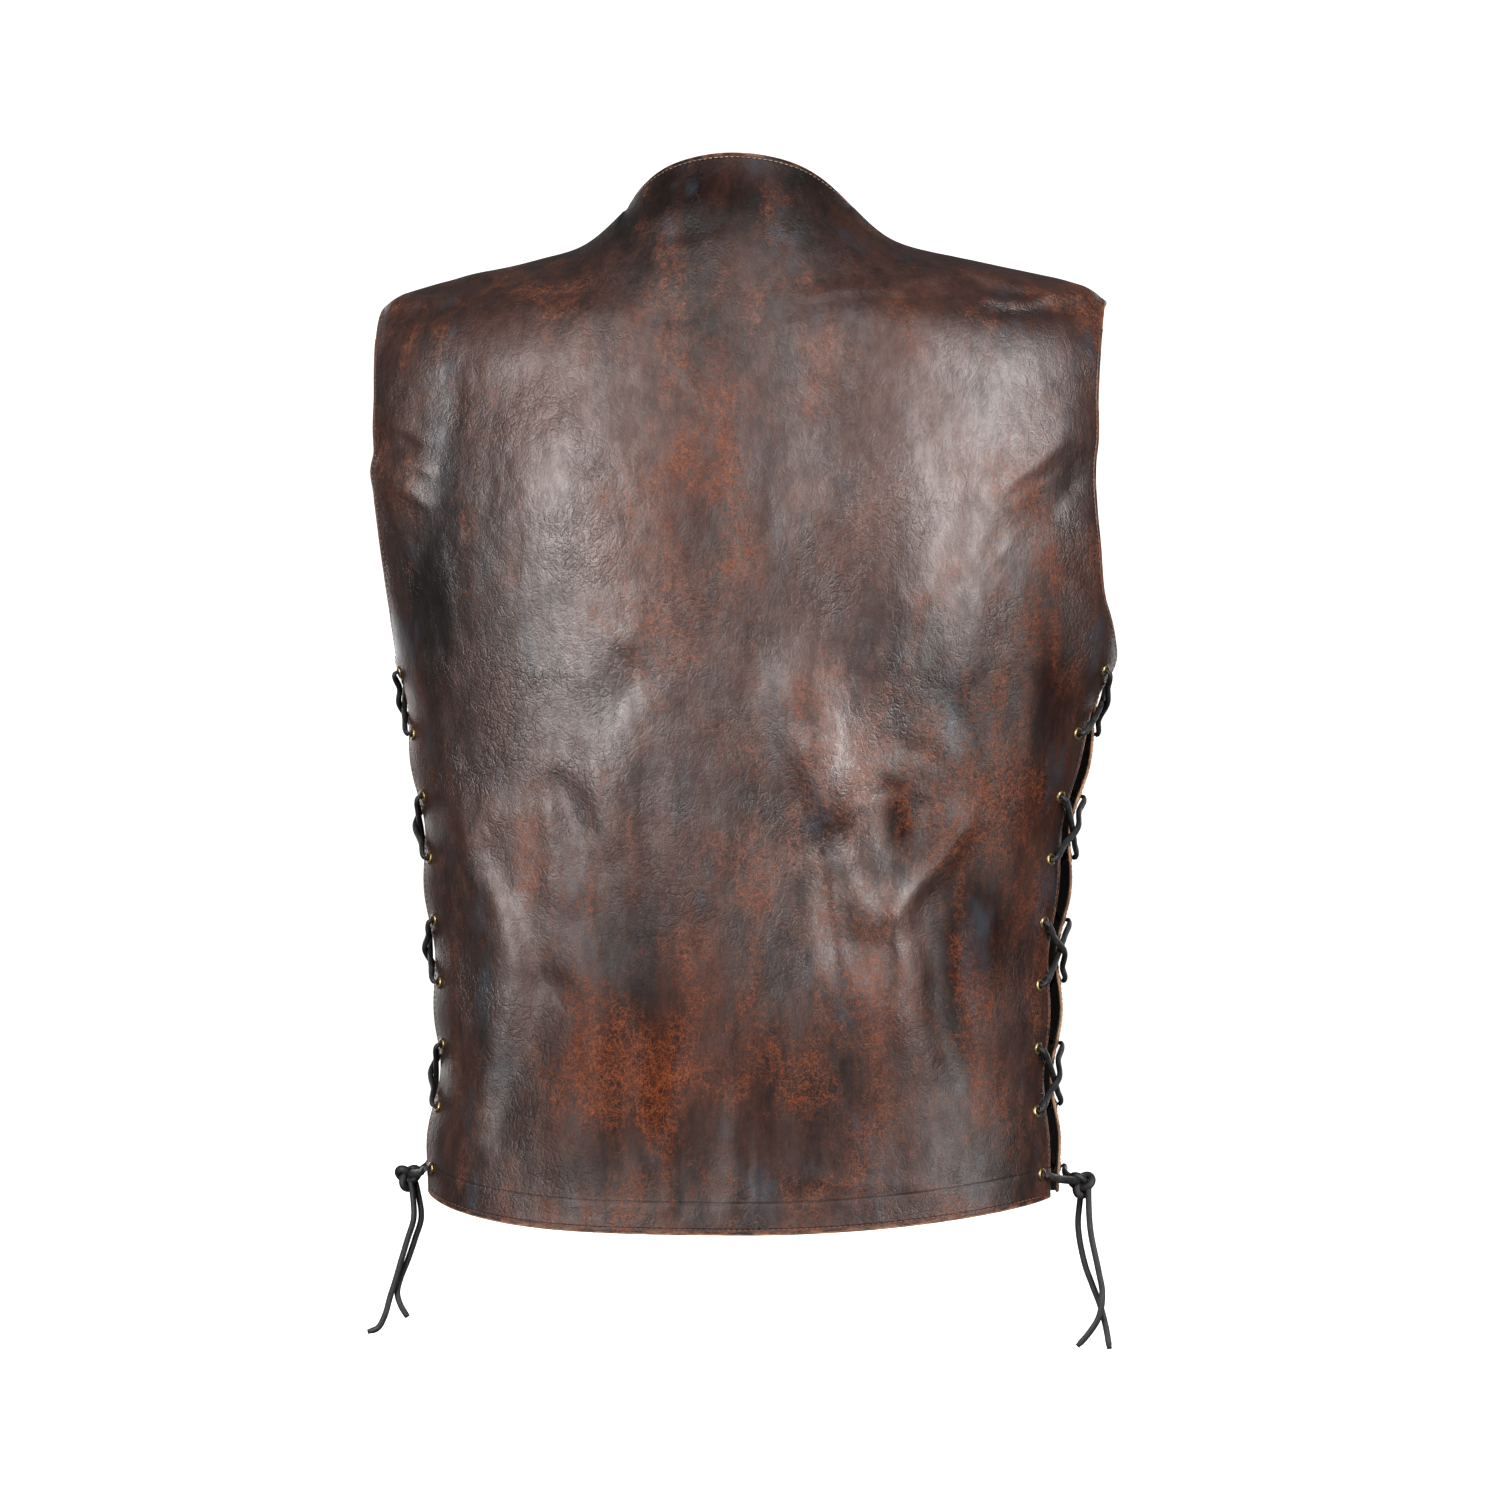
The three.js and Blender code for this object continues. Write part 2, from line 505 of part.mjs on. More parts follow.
// A route whose extrusion steps fall exactly on its own points
class Route extends THREE.Curve {
  constructor(points) {
    super();
    this.points = points;
  }

  getPoint(t, target = new THREE.Vector3()) {
    const place = Math.min(Math.max(t, 0), 1) * (this.points.length - 1);
    const index = Math.min(Math.floor(place), this.points.length - 2);
    return target.copy(this.points[index]).lerp(this.points[index + 1], place - index);
  }

  getPointAt(u, target) {
    return this.getPoint(u, target);
  }

  getTangentAt(u, target = new THREE.Vector3()) {
    const index = Math.round(u * (this.points.length - 1));
    const here = this.points[index];
    const before = this.points[Math.max(index - 1, 0)];
    const after = this.points[Math.min(index + 1, this.points.length - 1)];
    const arriving = here.clone().sub(before).normalize();
    const leaving = after.clone().sub(here).normalize();
    return target.copy(arriving).add(leaving).normalize();
  }
}

// Each sharp corner becomes two points, so that the lace bends there in two steps
function roundCorners(points) {
  const rounded = [points[0]];
  for (let i = 1; i < points.length - 1; i += 1) {
    const back = points[i - 1].clone().sub(points[i]);
    const ahead = points[i + 1].clone().sub(points[i]);
    if (back.angleTo(ahead) > Math.PI * 0.8) {
      rounded.push(points[i]);
      continue;
    }
    rounded.push(points[i].clone().add(back.setLength(LACE.corner)));
    rounded.push(points[i].clone().add(ahead.setLength(LACE.corner)));
  }
  rounded.push(points[points.length - 1]);
  return rounded;
}

function cordGeometry(points, radius, sides) {
  const section = new THREE.Shape();
  for (let k = 0; k < sides; k += 1) {
    const angle = (2 * Math.PI * (k + 0.5)) / sides;
    if (k === 0) section.moveTo(radius * Math.cos(angle), radius * Math.sin(angle));
    else section.lineTo(radius * Math.cos(angle), radius * Math.sin(angle));
  }
  const options = { steps: points.length - 1, bevelEnabled: false, extrudePath: new Route(points) };
  return new THREE.ExtrudeGeometry(section, options);
}

function knotCentre(side) {
  return new THREE.Vector3(side * (readColumn(TORSO, 'half', KNOT.z) + KNOT.stand), 0, KNOT.z);
}

// Outside crossing from one edge's eyelet to the next eyelet of the other edge
function crossingPoints(side, from, to, index, height) {
  const start = eyeletSpot(from, side, index);
  const end = eyeletSpot(to, side, index + 1);
  const zAt = (t) => start.centre.z + (end.centre.z - start.centre.z) * t;
  const middle = edgeSpot(from, side, zAt(0.5)).out(0).lerp(edgeSpot(to, side, zAt(0.5)).out(0), 0.5);
  middle.x += side * height;
  return [
    start.out(LACE.outside),
    edgeSpot(from, side, zAt(CROSSING.edgeShare)).out(LACE.overEdge),
    middle,
    edgeSpot(to, side, zAt(1 - CROSSING.edgeShare)).out(LACE.overEdge),
    end.out(LACE.outside),
  ];
}

// One strand from the top pair down: it crosses outside, runs down inside, and comes out at the bottom
function strandPoints(side, first, height) {
  const other = { back: 'front', front: 'back' };
  const points = [];
  let edge = first;
  for (let i = 0; i < LACING.count - 1; i += 2) {
    points.push(eyeletSpot(edge, side, i).out(-LACE.inside));
    points.push(...crossingPoints(side, edge, other[edge], i, height));
    edge = other[edge];
    points.push(eyeletSpot(edge, side, i + 1).out(-LACE.inside));
  }
  const last = eyeletSpot(edge, side, LACING.count - 1);
  points.push(last.out(-LACE.inside), last.out(LACE.outside));
  const towards = edge === 'back' ? 1 : -1;
  points.push(edgeSpot(edge, side, last.centre.z - LAST_PULL.down).out(LAST_PULL.out));
  const { entry } = KNOT;
  points.push(knotCentre(side).add(new THREE.Vector3(-side * entry.in, entry.apart * towards, entry.up)));
  return points;
}

function laceSolid(side) {
  const overStrand = strandPoints(side, 'back', CROSSING.over).reverse();
  const underStrand = strandPoints(side, 'front', CROSSING.under);
  const route = roundCorners([...overStrand, ...underStrand]);
  const whole = solidFromGeometry(cordGeometry(route, LACE.radius, LACE.sides));
  return whole.subtract(knotSolid(side, KNOT.cord + GAP));
}

// A pulled tight knot: turns of the lace drawn over each other round a filled heart
function knotSolid(side, cord) {
  const centre = knotCentre(side);
  const heart = new THREE.IcosahedronGeometry(KNOT.ring + cord / 2, 0);
  let knot = solidFromGeometry(heart.translate(centre.x, centre.y, centre.z));
  for (const turn of KNOT_TURNS) {
    const loop = new THREE.TorusGeometry(KNOT.ring - turn.tighter, cord, KNOT.sides, KNOT.steps);
    loop.rotateX(turn.tilt).rotateY(turn.roll * side).translate(centre.x, centre.y, centre.z);
    knot = knot.add(solidFromGeometry(loop));
  }
  return knot;
}

function laceEndSolid(name) {
  const side = name.startsWith('left') ? 1 : -1;
  const points = LACE_ENDS[name].map(([x, y, z]) => new THREE.Vector3(x, y, z));
  const curve = new THREE.CatmullRomCurve3(points);
  const steps = Math.round(curve.getLength() / LACE.endStep);
  const whole = solidFromGeometry(cordGeometry(curve.getSpacedPoints(steps), LACE.radius, LACE.endSides));
  return whole.subtract(knotSolid(side, KNOT.cord + GAP));
}

function snapGeometry(index) {
  const z = SNAP.topZ - index * SNAP.pitch;
  const ray = new THREE.Raycaster(new THREE.Vector3(0, IN_FRONT_OF_VEST, z), new THREE.Vector3(0, 1, 0));
  const shell = new THREE.Mesh(PANELS.front_panel_left, new THREE.MeshBasicMaterial({ side: THREE.DoubleSide }));
  const hit = ray.intersectObject(shell)[0];
  const profile = SNAP_PROFILE.map(([r, h]) => new THREE.Vector2(SNAP.radius * r, GAP + SNAP.height * h));
  return orientTo(new THREE.LatheGeometry(profile, SNAP.sides), hit.point, hit.face.normal);
}

function panelSolid(name, edges) {
  let solid = wallSolid(GRIDS[name], FLIPS[name]);
  const drills = [];
  for (const [edge, side] of edges) {
    for (let i = 0; i < LACING.count; i += 1) drills.push(eyeletHole(eyeletSpot(edge, side, i)));
  }
  for (const drill of drills) solid = solid.subtract(drill);
  return solid;
}

const PANELS = {
  back_panel: geometryFromSolid(panelSolid('back', [['back', 1], ['back', -1]])),
  front_panel_left: geometryFromSolid(panelSolid('front_left', [['front', 1]])),
  front_panel_right: geometryFromSolid(panelSolid('front_right', [['front', -1]])),
};

const vest = new THREE.Group();

function addPiece(name, geometry, finish) {
  const mesh = new THREE.Mesh(geometry, new THREE.MeshStandardMaterial(finish));
  mesh.name = name;
  vest.add(mesh);
}

for (const [name, geometry] of Object.entries(PANELS)) addPiece(name, geometry, LEATHER);

for (const [sideName, side] of [['left', 1], ['right', -1]]) {
  for (const edge of ['back', 'front']) {
    for (let i = 0; i < LACING.count; i += 1) {
      addPiece(`eyelet_${sideName}_${edge}_${i + 1}`, eyeletGeometry(eyeletSpot(edge, side, i)), BRASS);
    }
  }
  addPiece(`lace_${sideName}`, geometryFromSolid(laceSolid(side)), BLACK_LACE);
  addPiece(`knot_${sideName}`, geometryFromSolid(knotSolid(side, KNOT.cord)), BLACK_LACE);
  for (const place of ['outer', 'inner']) {
    addPiece(`lace_end_${sideName}_${place}`, geometryFromSolid(laceEndSolid(`${sideName}_${place}`)), BLACK_LACE);
  }
}

for (let i = 0; i < SNAP.count; i += 1) addPiece(`snap_cap_${i + 1}`, snapGeometry(i), BRASS);

export default vest;
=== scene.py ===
import math
import bpy
import numpy as np
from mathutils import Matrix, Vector


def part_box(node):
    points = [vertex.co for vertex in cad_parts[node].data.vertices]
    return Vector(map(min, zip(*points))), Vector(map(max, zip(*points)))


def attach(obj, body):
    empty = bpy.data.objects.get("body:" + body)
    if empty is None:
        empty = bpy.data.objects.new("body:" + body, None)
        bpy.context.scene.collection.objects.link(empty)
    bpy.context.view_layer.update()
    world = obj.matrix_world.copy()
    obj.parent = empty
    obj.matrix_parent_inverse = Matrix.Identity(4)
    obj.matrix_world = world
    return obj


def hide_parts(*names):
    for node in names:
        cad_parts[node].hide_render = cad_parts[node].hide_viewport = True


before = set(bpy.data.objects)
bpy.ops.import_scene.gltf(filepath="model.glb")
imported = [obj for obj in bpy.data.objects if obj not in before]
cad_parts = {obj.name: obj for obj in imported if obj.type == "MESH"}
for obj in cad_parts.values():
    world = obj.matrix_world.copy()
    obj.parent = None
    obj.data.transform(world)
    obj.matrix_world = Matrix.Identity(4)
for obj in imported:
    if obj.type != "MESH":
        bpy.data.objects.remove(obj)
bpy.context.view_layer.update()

# Camera, placed behind the vest and a little to its right, level with its middle
CAMERA_YAW = math.radians(6.5)
CAMERA_DISTANCE = 3.0
CAMERA_HEIGHT = -0.3023
CAMERA_ASIDE = 0.005
CAMERA_LENS = 113.56

# The vest's form, in millimetres, as its solids have it, but with rounder shoulder corners and
# a closer shoulder seam
WALL = 2.0
GAP = 0.3
HEM_Z = -580.0
HEM_DROP = {"back": 18.0, "front": 14.0, "left_power": 4.0, "right_power": 2.0}
YOKE_Z = -70.0
JUST_BELOW_YOKE = 0.99
ROUNDNESS = 2.3
NECK = {"half": 72.0, "back": 58.0, "y": 4.0, "top": 68.5, "share": 0.27, "lean_in": 0.35,
        "lean_up": 0.94}
NECK_LEAN_CHANGE = {"in": 0.65, "up": -1.04}
SHOULDER = {"half": 230.0, "y": -6.0, "inset": 36.5, "slope": 0.215, "width": 78.0, "power": 4.6,
            "crown": 25.0, "round": 2.0, "corner": 6.0}
SEAM_FALL = 0.1
SEAM_APART = 0.1 * GAP
FRONT_EDGE = {"overlap": 15.0, "v_neck_z": -200.0, "yoke_x": 38.0, "lift_from": 20.0, "lift_to": 62.0}
LACING = {"count": 9, "pitch": 39.1, "top": -253.0, "scallop": 2.5, "reach": 0.2, "wave": 2.0}
FOLDS_END = 0.94
FOLDS_FULL = 0.8
FOLD_SCALE = {"height": 0.85, "width": 1.25}
FOLD_WANDER = 4.5
CREASE_SCALE = {"height": 0.8, "width": 1.1}
CALM_AT_NECK_CORNER = (20, 60)
HEM_TURN = {"rise": 0.5, "above": 19.4, "below": 17.6}
UNDERARM_Z = LACING["top"] + LACING["pitch"] / 4
LACE = {"half_width": 1.95, "half_height": 1.35, "sides": 10, "wider_crossing": 1.34, "outside": 3.3,
        "inside": 4.6, "over_edge": 2.6, "at_foot": 3.8}
CROSSING = {"over": 7.0, "under": 3.4, "edge_share": 0.24}
KNOT = {"stand": 13.0, "z": -575.0, "size": 2.45, "half_width": 2.5, "half_height": 2.2}
SNAP_COUNT = 4
SNAP_ACROSS = 0.065
SNAP_SIDES = 40
EYELET_SIDES = 22
TOPSTITCH = 2.6
COLUMNS = {"back": 250, "front": 126}
LOWER_ROWS = 222
UPPER_ROWS = 70
UPPER_ROW_SHARES = [0, 0.2, 0.4, 0.6, 0.79, 0.95, 1]

# Body form by height: z, half width, depth of the back, depth of the front, shift to the wearer's left
TORSO = np.array([
    (-600, 204, 112, 113, 0),
    (-540, 199, 108, 113, 0),
    (-490, 197, 105, 114, -2.5),
    (-416, 202, 104, 115, -1.5),
    (-334, 210.5, 108, 119, -3),
    (-243, 227, 117, 125, -6),
    (-180, 237, 121, 122, -2.5),
    (-125, 240, 120, 112, -0.5),
    (-70, 242, 111, 94, 0),
], float)
HALF, BACK, FRONT, SHIFT = 1, 2, 3, 4
DEPTH = {"back": BACK, "front": FRONT}

# Side edges, laced below the underarm and armhole above it: z, distance of the back's and the
# front's edge from the middle plane
SIDE_EDGES = np.array([
    (-600, 29, 5),
    (-340, 30, 5),
    (-280, 25, 8),
    (UNDERARM_Z, 15, 14),
    (-232, 23, 27),
    (-210, 36, 47),
    (-170, 46, 62),
    (-120, 49, 64),
    (-70, 46, 54),
], float)
EDGE_COLUMN = {"back": 1, "front": 2}

# Swells: x, z, reach along x and z, height
BACK_SWELLS = [
    (96, -140, 48, 95, 7),
    (-98, -150, 50, 100, 7),
    (-232, -243, 26, 34, 6),
    (225, -130, 26, 45, 4),
    (-110, -455, 28, 60, 4),
    (150, -470, 30, 70, 4),
    (20, -430, 50, 60, -3),
]
FRONT_SWELLS = [
    (95, -175, 60, 70, 7),
    (90, -430, 55, 70, 4),
]

# Folds: x and z of one end, x and z of the other, half width, height
BACK_FOLDS = [
    (-120, -405, -139, -506, 11, -3.5), (-141, -415, -154, -500, 11, 2.5),
    (168, -339, 127, -429, 15, 4.5), (148, -363, 116, -445, 10, -5),
    (116, -445, 141, -540, 11, -5), (104, -320, 92, -352, 7, -2.4),
    (80, -312, 76, -360, 9, 2.5), (108, -340, 104, -395, 9, 2.5),
    (83, -285, 56, -250, 10, -2.5), (66, -240, 50, -205, 9, 2),
    (-219, -98, -160, -150, 13, 3.5), (-222, -125, -168, -176, 12, -3),
    (-185, -196, -150, -290, 14, -2.5), (226, -112, 198, -118, 7, -2.5),
    (205, -165, 203, -236, 15, -4), (172, -60, 176, -170, 14, -3),
    (50, -468, 48, -575, 9, 2), (-8, -515, -6, -590, 9, 2),
    (-60, -440, -52, -560, 14, 2.5), (86, -470, 92, -575, 13, 2.5),
    (152, -2, 92, 2, 10, -2.5), (-212, -40, -60, -36, 15, 4.5),
    (60, -38, 212, -40, 14, 3.6), (-42, -250, -60, -334, 19, 7),
    (-54, -300, -95, -408, 14, 9), (-67, -350, -76, -440, 12, -7),
    (-88, -396, -98, -470, 12, 4), (-103, -402, -144, -348, 9, 6.5),
    (-106, -402, -110, -446, 12, 3), (226, -126, 196, -140, 8, 1.8),
    (-44, -318, -66, -360, 13, -3.4), (-110, -322, -115, -370, 13, -1.4),
]
LEFT_FRONT_FOLDS = [
    (10, -325, 78, -352, 13, 3), (12, -345, 66, -384, 12, -3),
    (12, -430, 74, -462, 13, -3), (150, -330, 118, -430, 14, -4),
    (172, -345, 148, -450, 13, 3.5), (118, -440, 132, -545, 13, -4),
    (80, -455, 88, -560, 14, 3), (196, -150, 150, -205, 13, -3.5),
    (202, -200, 150, -250, 12, 3), (60, -130, 96, -60, 12, -3),
    (210, -30, 140, -40, 11, -3),
]
RIGHT_FRONT_FOLDS = [
    (12, -300, 84, -336, 14, -3), (14, -398, 80, -420, 13, 3),
    (158, -318, 128, -400, 14, 3.5), (136, -345, 104, -440, 13, -4),
    (104, -440, 118, -535, 12, -3.5), (146, -452, 150, -560, 14, 3),
    (198, -140, 142, -190, 13, 3), (200, -185, 156, -262, 13, -3.5),
    (56, -120, 88, -66, 12, -2.5), (204, -24, 132, -32, 11, -3),
]

# Small creases and puckers over those folds, in the same columns
BACK_CREASES = [
    (212, -99, 190, -112, 4, 1.6), (208, -121, 183, -132, 4, 1.6),
    (211, -138, 188, -151, 4, 1.4), (214, -161, 198, -186, 6, 1.4),
    (206, -213, 192, -187, 6, -2), (188, -204, 180, -247, 7, -1.4),
    (165, -69, 162, -106, 6, 1), (171, -186, 165, -235, 8, -1.4),
    (137, -88, 140, -161, 9, -0.9), (42, -30, 14, -37, 8, -1.6),
    (24, -57, 20, -78, 5, 1), (165, -14, 125, -4, 6, -1.4),
    (69, 20, 14, 42, 7, 1.8), (54, 8, 1, 26, 7, -1.4),
    (-66, 41, -100, 12, 6, 1.8), (-74, 25, -92, 3, 6, -1.4),
    (-52, -22, -116, -17, 5, 1.6), (-103, -26, -97, -54, 5, -1.2),
    (-84, -63, -74, -93, 7, 1.2), (-123, -99, -134, -133, 6, -0.9),
    (-176, -139, -206, -115, 3.2, 1.2), (-171, -151, -202, -131, 3, -0.9),
    (-165, -187, -181, -167, 3.5, 1), (-196, -161, -218, -137, 5, -1.3),
    (-208, -186, -224, -210, 6, -1.3), (-83, -328, -110, -321, 4, -1.1),
    (-97, -297, -129, -310, 4.5, -1.1), (-90, -310, -116, -328, 4, 1),
    (-111, -354, -137, -335, 5, 1.4), (-132, -266, -145, -296, 7, -1.6),
    (-156, -272, -162, -351, 9, 1.2), (-173, -247, -179, -321, 8, -1),
    (-190, -308, -184, -394, 8, -1.1), (35, -539, 31, -581, 3.4, 1.2),
    (27, -548, 24, -584, 3.2, -0.8), (-20, -534, -21, -589, 3.6, 1.3),
    (-13, -548, -14, -587, 3.2, -0.9), (51, -529, 45, -578, 5, -0.9),
    (-32, -557, -48, -572, 5, 1), (-48, -566, -128, -573, 4, 1),
    (156, -351, 150, -413, 8, -1.2), (180, -308, 171, -394, 9, 1.2),
    (172, -394, 161, -480, 8, -1.2), (100, -456, 88, -529, 9, -1),
    (82, -397, 69, -431, 6, -0.9), (54, -308, 51, -394, 7, -1),
    (14, -186, 18, -272, 12, -1), (-14, -137, -11, -210, 10, 0.9),
    (-42, -106, -29, -186, 9, -0.9), (-73, -112, -55, -186, 9, 1.1),
    (-51, -186, -73, -272, 10, -0.9), (100, -100, 100, -149, 10, 0.9),
    (76, -131, 51, -161, 9, -0.8), (-100, -12, -151, -4, 4, 2.2),
    (-151, -4, -179, -12, 4, 2.8), (-179, -12, -200, -20, 4, 2),
    (-160, -23, -179, -27, 4, 2.6), (-179, -27, -200, -22, 4, 3),
    (-200, -22, -224, -17, 4, 2.4), (-160, -16, -188, -20, 5, -2.6),
    (-166, -33, -216, -30, 6, -3), (224, -18, 199, -18, 4, 2.8),
    (199, -18, 172, -23, 4, 2.8), (206, -12, 172, -16, 5, -2.6),
    (214, -27, 170, -31, 6, -2.4), (176, -9, 140, -8, 5, 1.8),
]
FRONT_CREASES = [
    (214, -108, 186, -124, 4, 1.5), (210, -130, 184, -148, 5, -1.5),
    (214, -160, 192, -178, 4, 1.3), (204, -214, 188, -240, 6, -1.6),
    (186, -60, 178, -112, 8, 1), (150, -92, 146, -150, 9, -1),
    (70, -210, 62, -276, 10, 0.9), (104, -230, 92, -300, 10, -1),
    (40, -262, 58, -320, 8, 0.9), (24, -300, 46, -372, 7, -1),
    (170, -470, 160, -548, 8, 1), (60, -480, 54, -570, 7, 1),
    (34, -500, 30, -584, 4, 1.1), (104, -522, 110, -584, 4, 1.1),
    (112, -534, 117, -582, 3.4, -0.8), (190, -22, 150, -30, 5, 1.4),
    (96, -2, 80, -34, 6, 1.2), (86, -6, 70, -40, 6, -1.1),
]

# Free ends of the laces, the points of their routes
LACE_ENDS = {
    "left_outer": [
        (213, 2, -577), (211.8, 2.2, -584), (210.8, 2.4, -601), (215, 2, -615), (219, 1.6, -628),
        (223.5, 1, -643), (226.5, 0.6, -652), (230, 0.4, -664), (234.6, 0.2, -672), (241, 0, -674.5),
    ],
    "left_inner": [
        (211, -2, -577), (209.2, -2.2, -584), (206.8, -2.4, -601), (210.6, -2.6, -614),
        (215.4, -2.8, -628), (220.6, -2.8, -641), (222.4, -2.8, -650), (220, -2.6, -658), (215.6, -2.4, -665),
    ],
    "right_outer": [
        (-219.4, 2.4, -577), (-219.4, 2.6, -584), (-220.6, 3, -604), (-225.6, 3, -629),
        (-228, 2.8, -643), (-226, 2.6, -658), (-219.4, 2.4, -669), (-212.4, 2.2, -677),
    ],
    "right_inner": [
        (-214.6, -2.4, -577), (-214, -2.6, -584), (-212.6, -3, -602), (-216.6, -3, -625),
        (-221.6, -2.8, -639), (-226.6, -2.4, -652), (-230, -2.2, -665), (-232.4, -2, -679),
    ],
}


def unit(vectors):
    return vectors / np.maximum(np.linalg.norm(vectors, axis=-1, keepdims=True), 1e-12)


def smooth_step(start, end, at):
    t = np.clip((at - start) / (end - start), 0, 1)
    return t * t * (3 - 2 * t)


def hermite(t, p0, m0, p1, m1):
    t2, t3 = t * t, t * t * t
    return (2 * t3 - 3 * t2 + 1) * p0 + (t3 - 2 * t2 + t) * m0 + (3 * t2 - 2 * t3) * p1 + (t3 - t2) * m1


def between(t, low, high, a, b):
    return (high - t) / (high - low) * a + (t - low) / (high - low) * b


def srgb(red, green, blue):
    linear = [(c / 255 / 12.92) if c / 255 <= 0.04045 else ((c / 255 + 0.055) / 1.055) ** 2.4
              for c in (red, green, blue)]
    return (*linear, 1.0)


def run_along(points):
    """Length of a line up to each of its points."""
    return np.concatenate([[0], np.cumsum(np.linalg.norm(np.diff(points, axis=0), axis=1))])


def add_object(name, data):
    thing = bpy.data.objects.new(name, data)
    bpy.context.scene.collection.objects.link(thing)
    return thing


# ---- camera ----
def add_camera():
    data = bpy.data.cameras.new("camera")
    data.lens = CAMERA_LENS
    data.clip_end = 30
    camera = add_object("camera", data)
    away = Vector((-math.sin(CAMERA_YAW), math.cos(CAMERA_YAW), 0))
    aside = Vector((-math.cos(CAMERA_YAW), -math.sin(CAMERA_YAW), 0))
    camera.location = away * CAMERA_DISTANCE + aside * CAMERA_ASIDE + Vector((0, 0, CAMERA_HEIGHT))
    camera.rotation_euler = (-away).to_track_quat("-Z", "Y").to_euler()
    bpy.context.scene.camera = camera


# ---- mesh helpers ----
def mesh_object(name, points_mm, faces, materials, face_material=None):
    mesh = bpy.data.meshes.new(name)
    mesh.from_pydata((np.asarray(points_mm) * 0.001).tolist(), [], faces)
    for material in materials:
        mesh.materials.append(material)
    if face_material is not None:
        mesh.polygons.foreach_set("material_index", np.asarray(face_material, np.int32))
    mesh.polygons.foreach_set("use_smooth", np.full(len(faces), True))
    mesh.update()
    return add_object(name, mesh)


def smooth_route(points, spacing):
    """Evenly spaced points on a centripetal curve through the route."""
    points = np.asarray(points, float)
    ends = np.vstack([2 * points[0] - points[1], points, 2 * points[-1] - points[-2]])
    curve = []
    for i in range(1, len(ends) - 2):
        p0, p1, p2, p3 = ends[i - 1:i + 3]
        t0 = 0.0
        t1 = t0 + max(np.linalg.norm(p1 - p0), 1e-9) ** 0.5
        t2 = t1 + max(np.linalg.norm(p2 - p1), 1e-9) ** 0.5
        t3 = t2 + max(np.linalg.norm(p3 - p2), 1e-9) ** 0.5
        t = np.linspace(t1, t2, 24, endpoint=False)[:, None]
        a1, a2, a3 = between(t, t0, t1, p0, p1), between(t, t1, t2, p1, p2), between(t, t2, t3, p2, p3)
        curve.append(between(t, t1, t2, between(t, t0, t2, a1, a2), between(t, t1, t3, a2, a3)))
    curve = np.vstack([*curve, points[-1:]])
    run = run_along(curve)
    at = np.linspace(0, run[-1], max(int(round(run[-1] / spacing)), 2) + 1)
    return np.stack([np.interp(at, run, curve[:, k]) for k in range(3)], 1)


def ring_faces(rings, sides, closed=False):
    """Faces over rings of points, with a cap at each end unless the last ring meets the first."""
    faces = []
    for i in range(rings if closed else rings - 1):
        a, b = i * sides, (i + 1) % rings * sides
        faces += [(a + k, a + (k + 1) % sides, b + (k + 1) % sides, b + k) for k in range(sides)]
    if not closed:
        faces.append(tuple(reversed(range(sides))))
        faces.append(tuple(range((rings - 1) * sides, rings * sides)))
    return faces


def tube(points, half_width, half_height, hint, scale=1.0):
    """Vertices and faces of a closed tube; its wide side lies across hint."""
    tangent = unit(np.gradient(points, axis=0))
    hints = np.broadcast_to(np.asarray(hint, float), points.shape)
    up = unit(hints - (hints * tangent).sum(1, keepdims=True) * tangent)
    across = np.cross(tangent, up)
    scale = np.broadcast_to(scale, len(points))
    angles = np.arange(LACE["sides"]) * 2 * math.pi / LACE["sides"]
    rings = (points[:, None] + scale[:, None, None] * (
        across[:, None] * (half_width * np.cos(angles))[None, :, None]
        + up[:, None] * (half_height * np.sin(angles))[None, :, None]))
    return rings.reshape(-1, 3), ring_faces(len(points), LACE["sides"])


class Joined:
    """Collects many small meshes into one."""

    def __init__(self):
        self.vertices, self.faces, self.count = [], [], 0

    def add(self, vertices, faces):
        self.vertices.append(np.asarray(vertices, float))
        self.faces.extend(tuple(i + self.count for i in face) for face in faces)
        self.count += len(vertices)

    def build(self, name, material):
        return mesh_object(name, np.vstack(self.vertices), self.faces, [material])


def finish_piece(thing, slot, *nodes):
    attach(thing, "root")
    if nodes:
        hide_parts(*nodes)


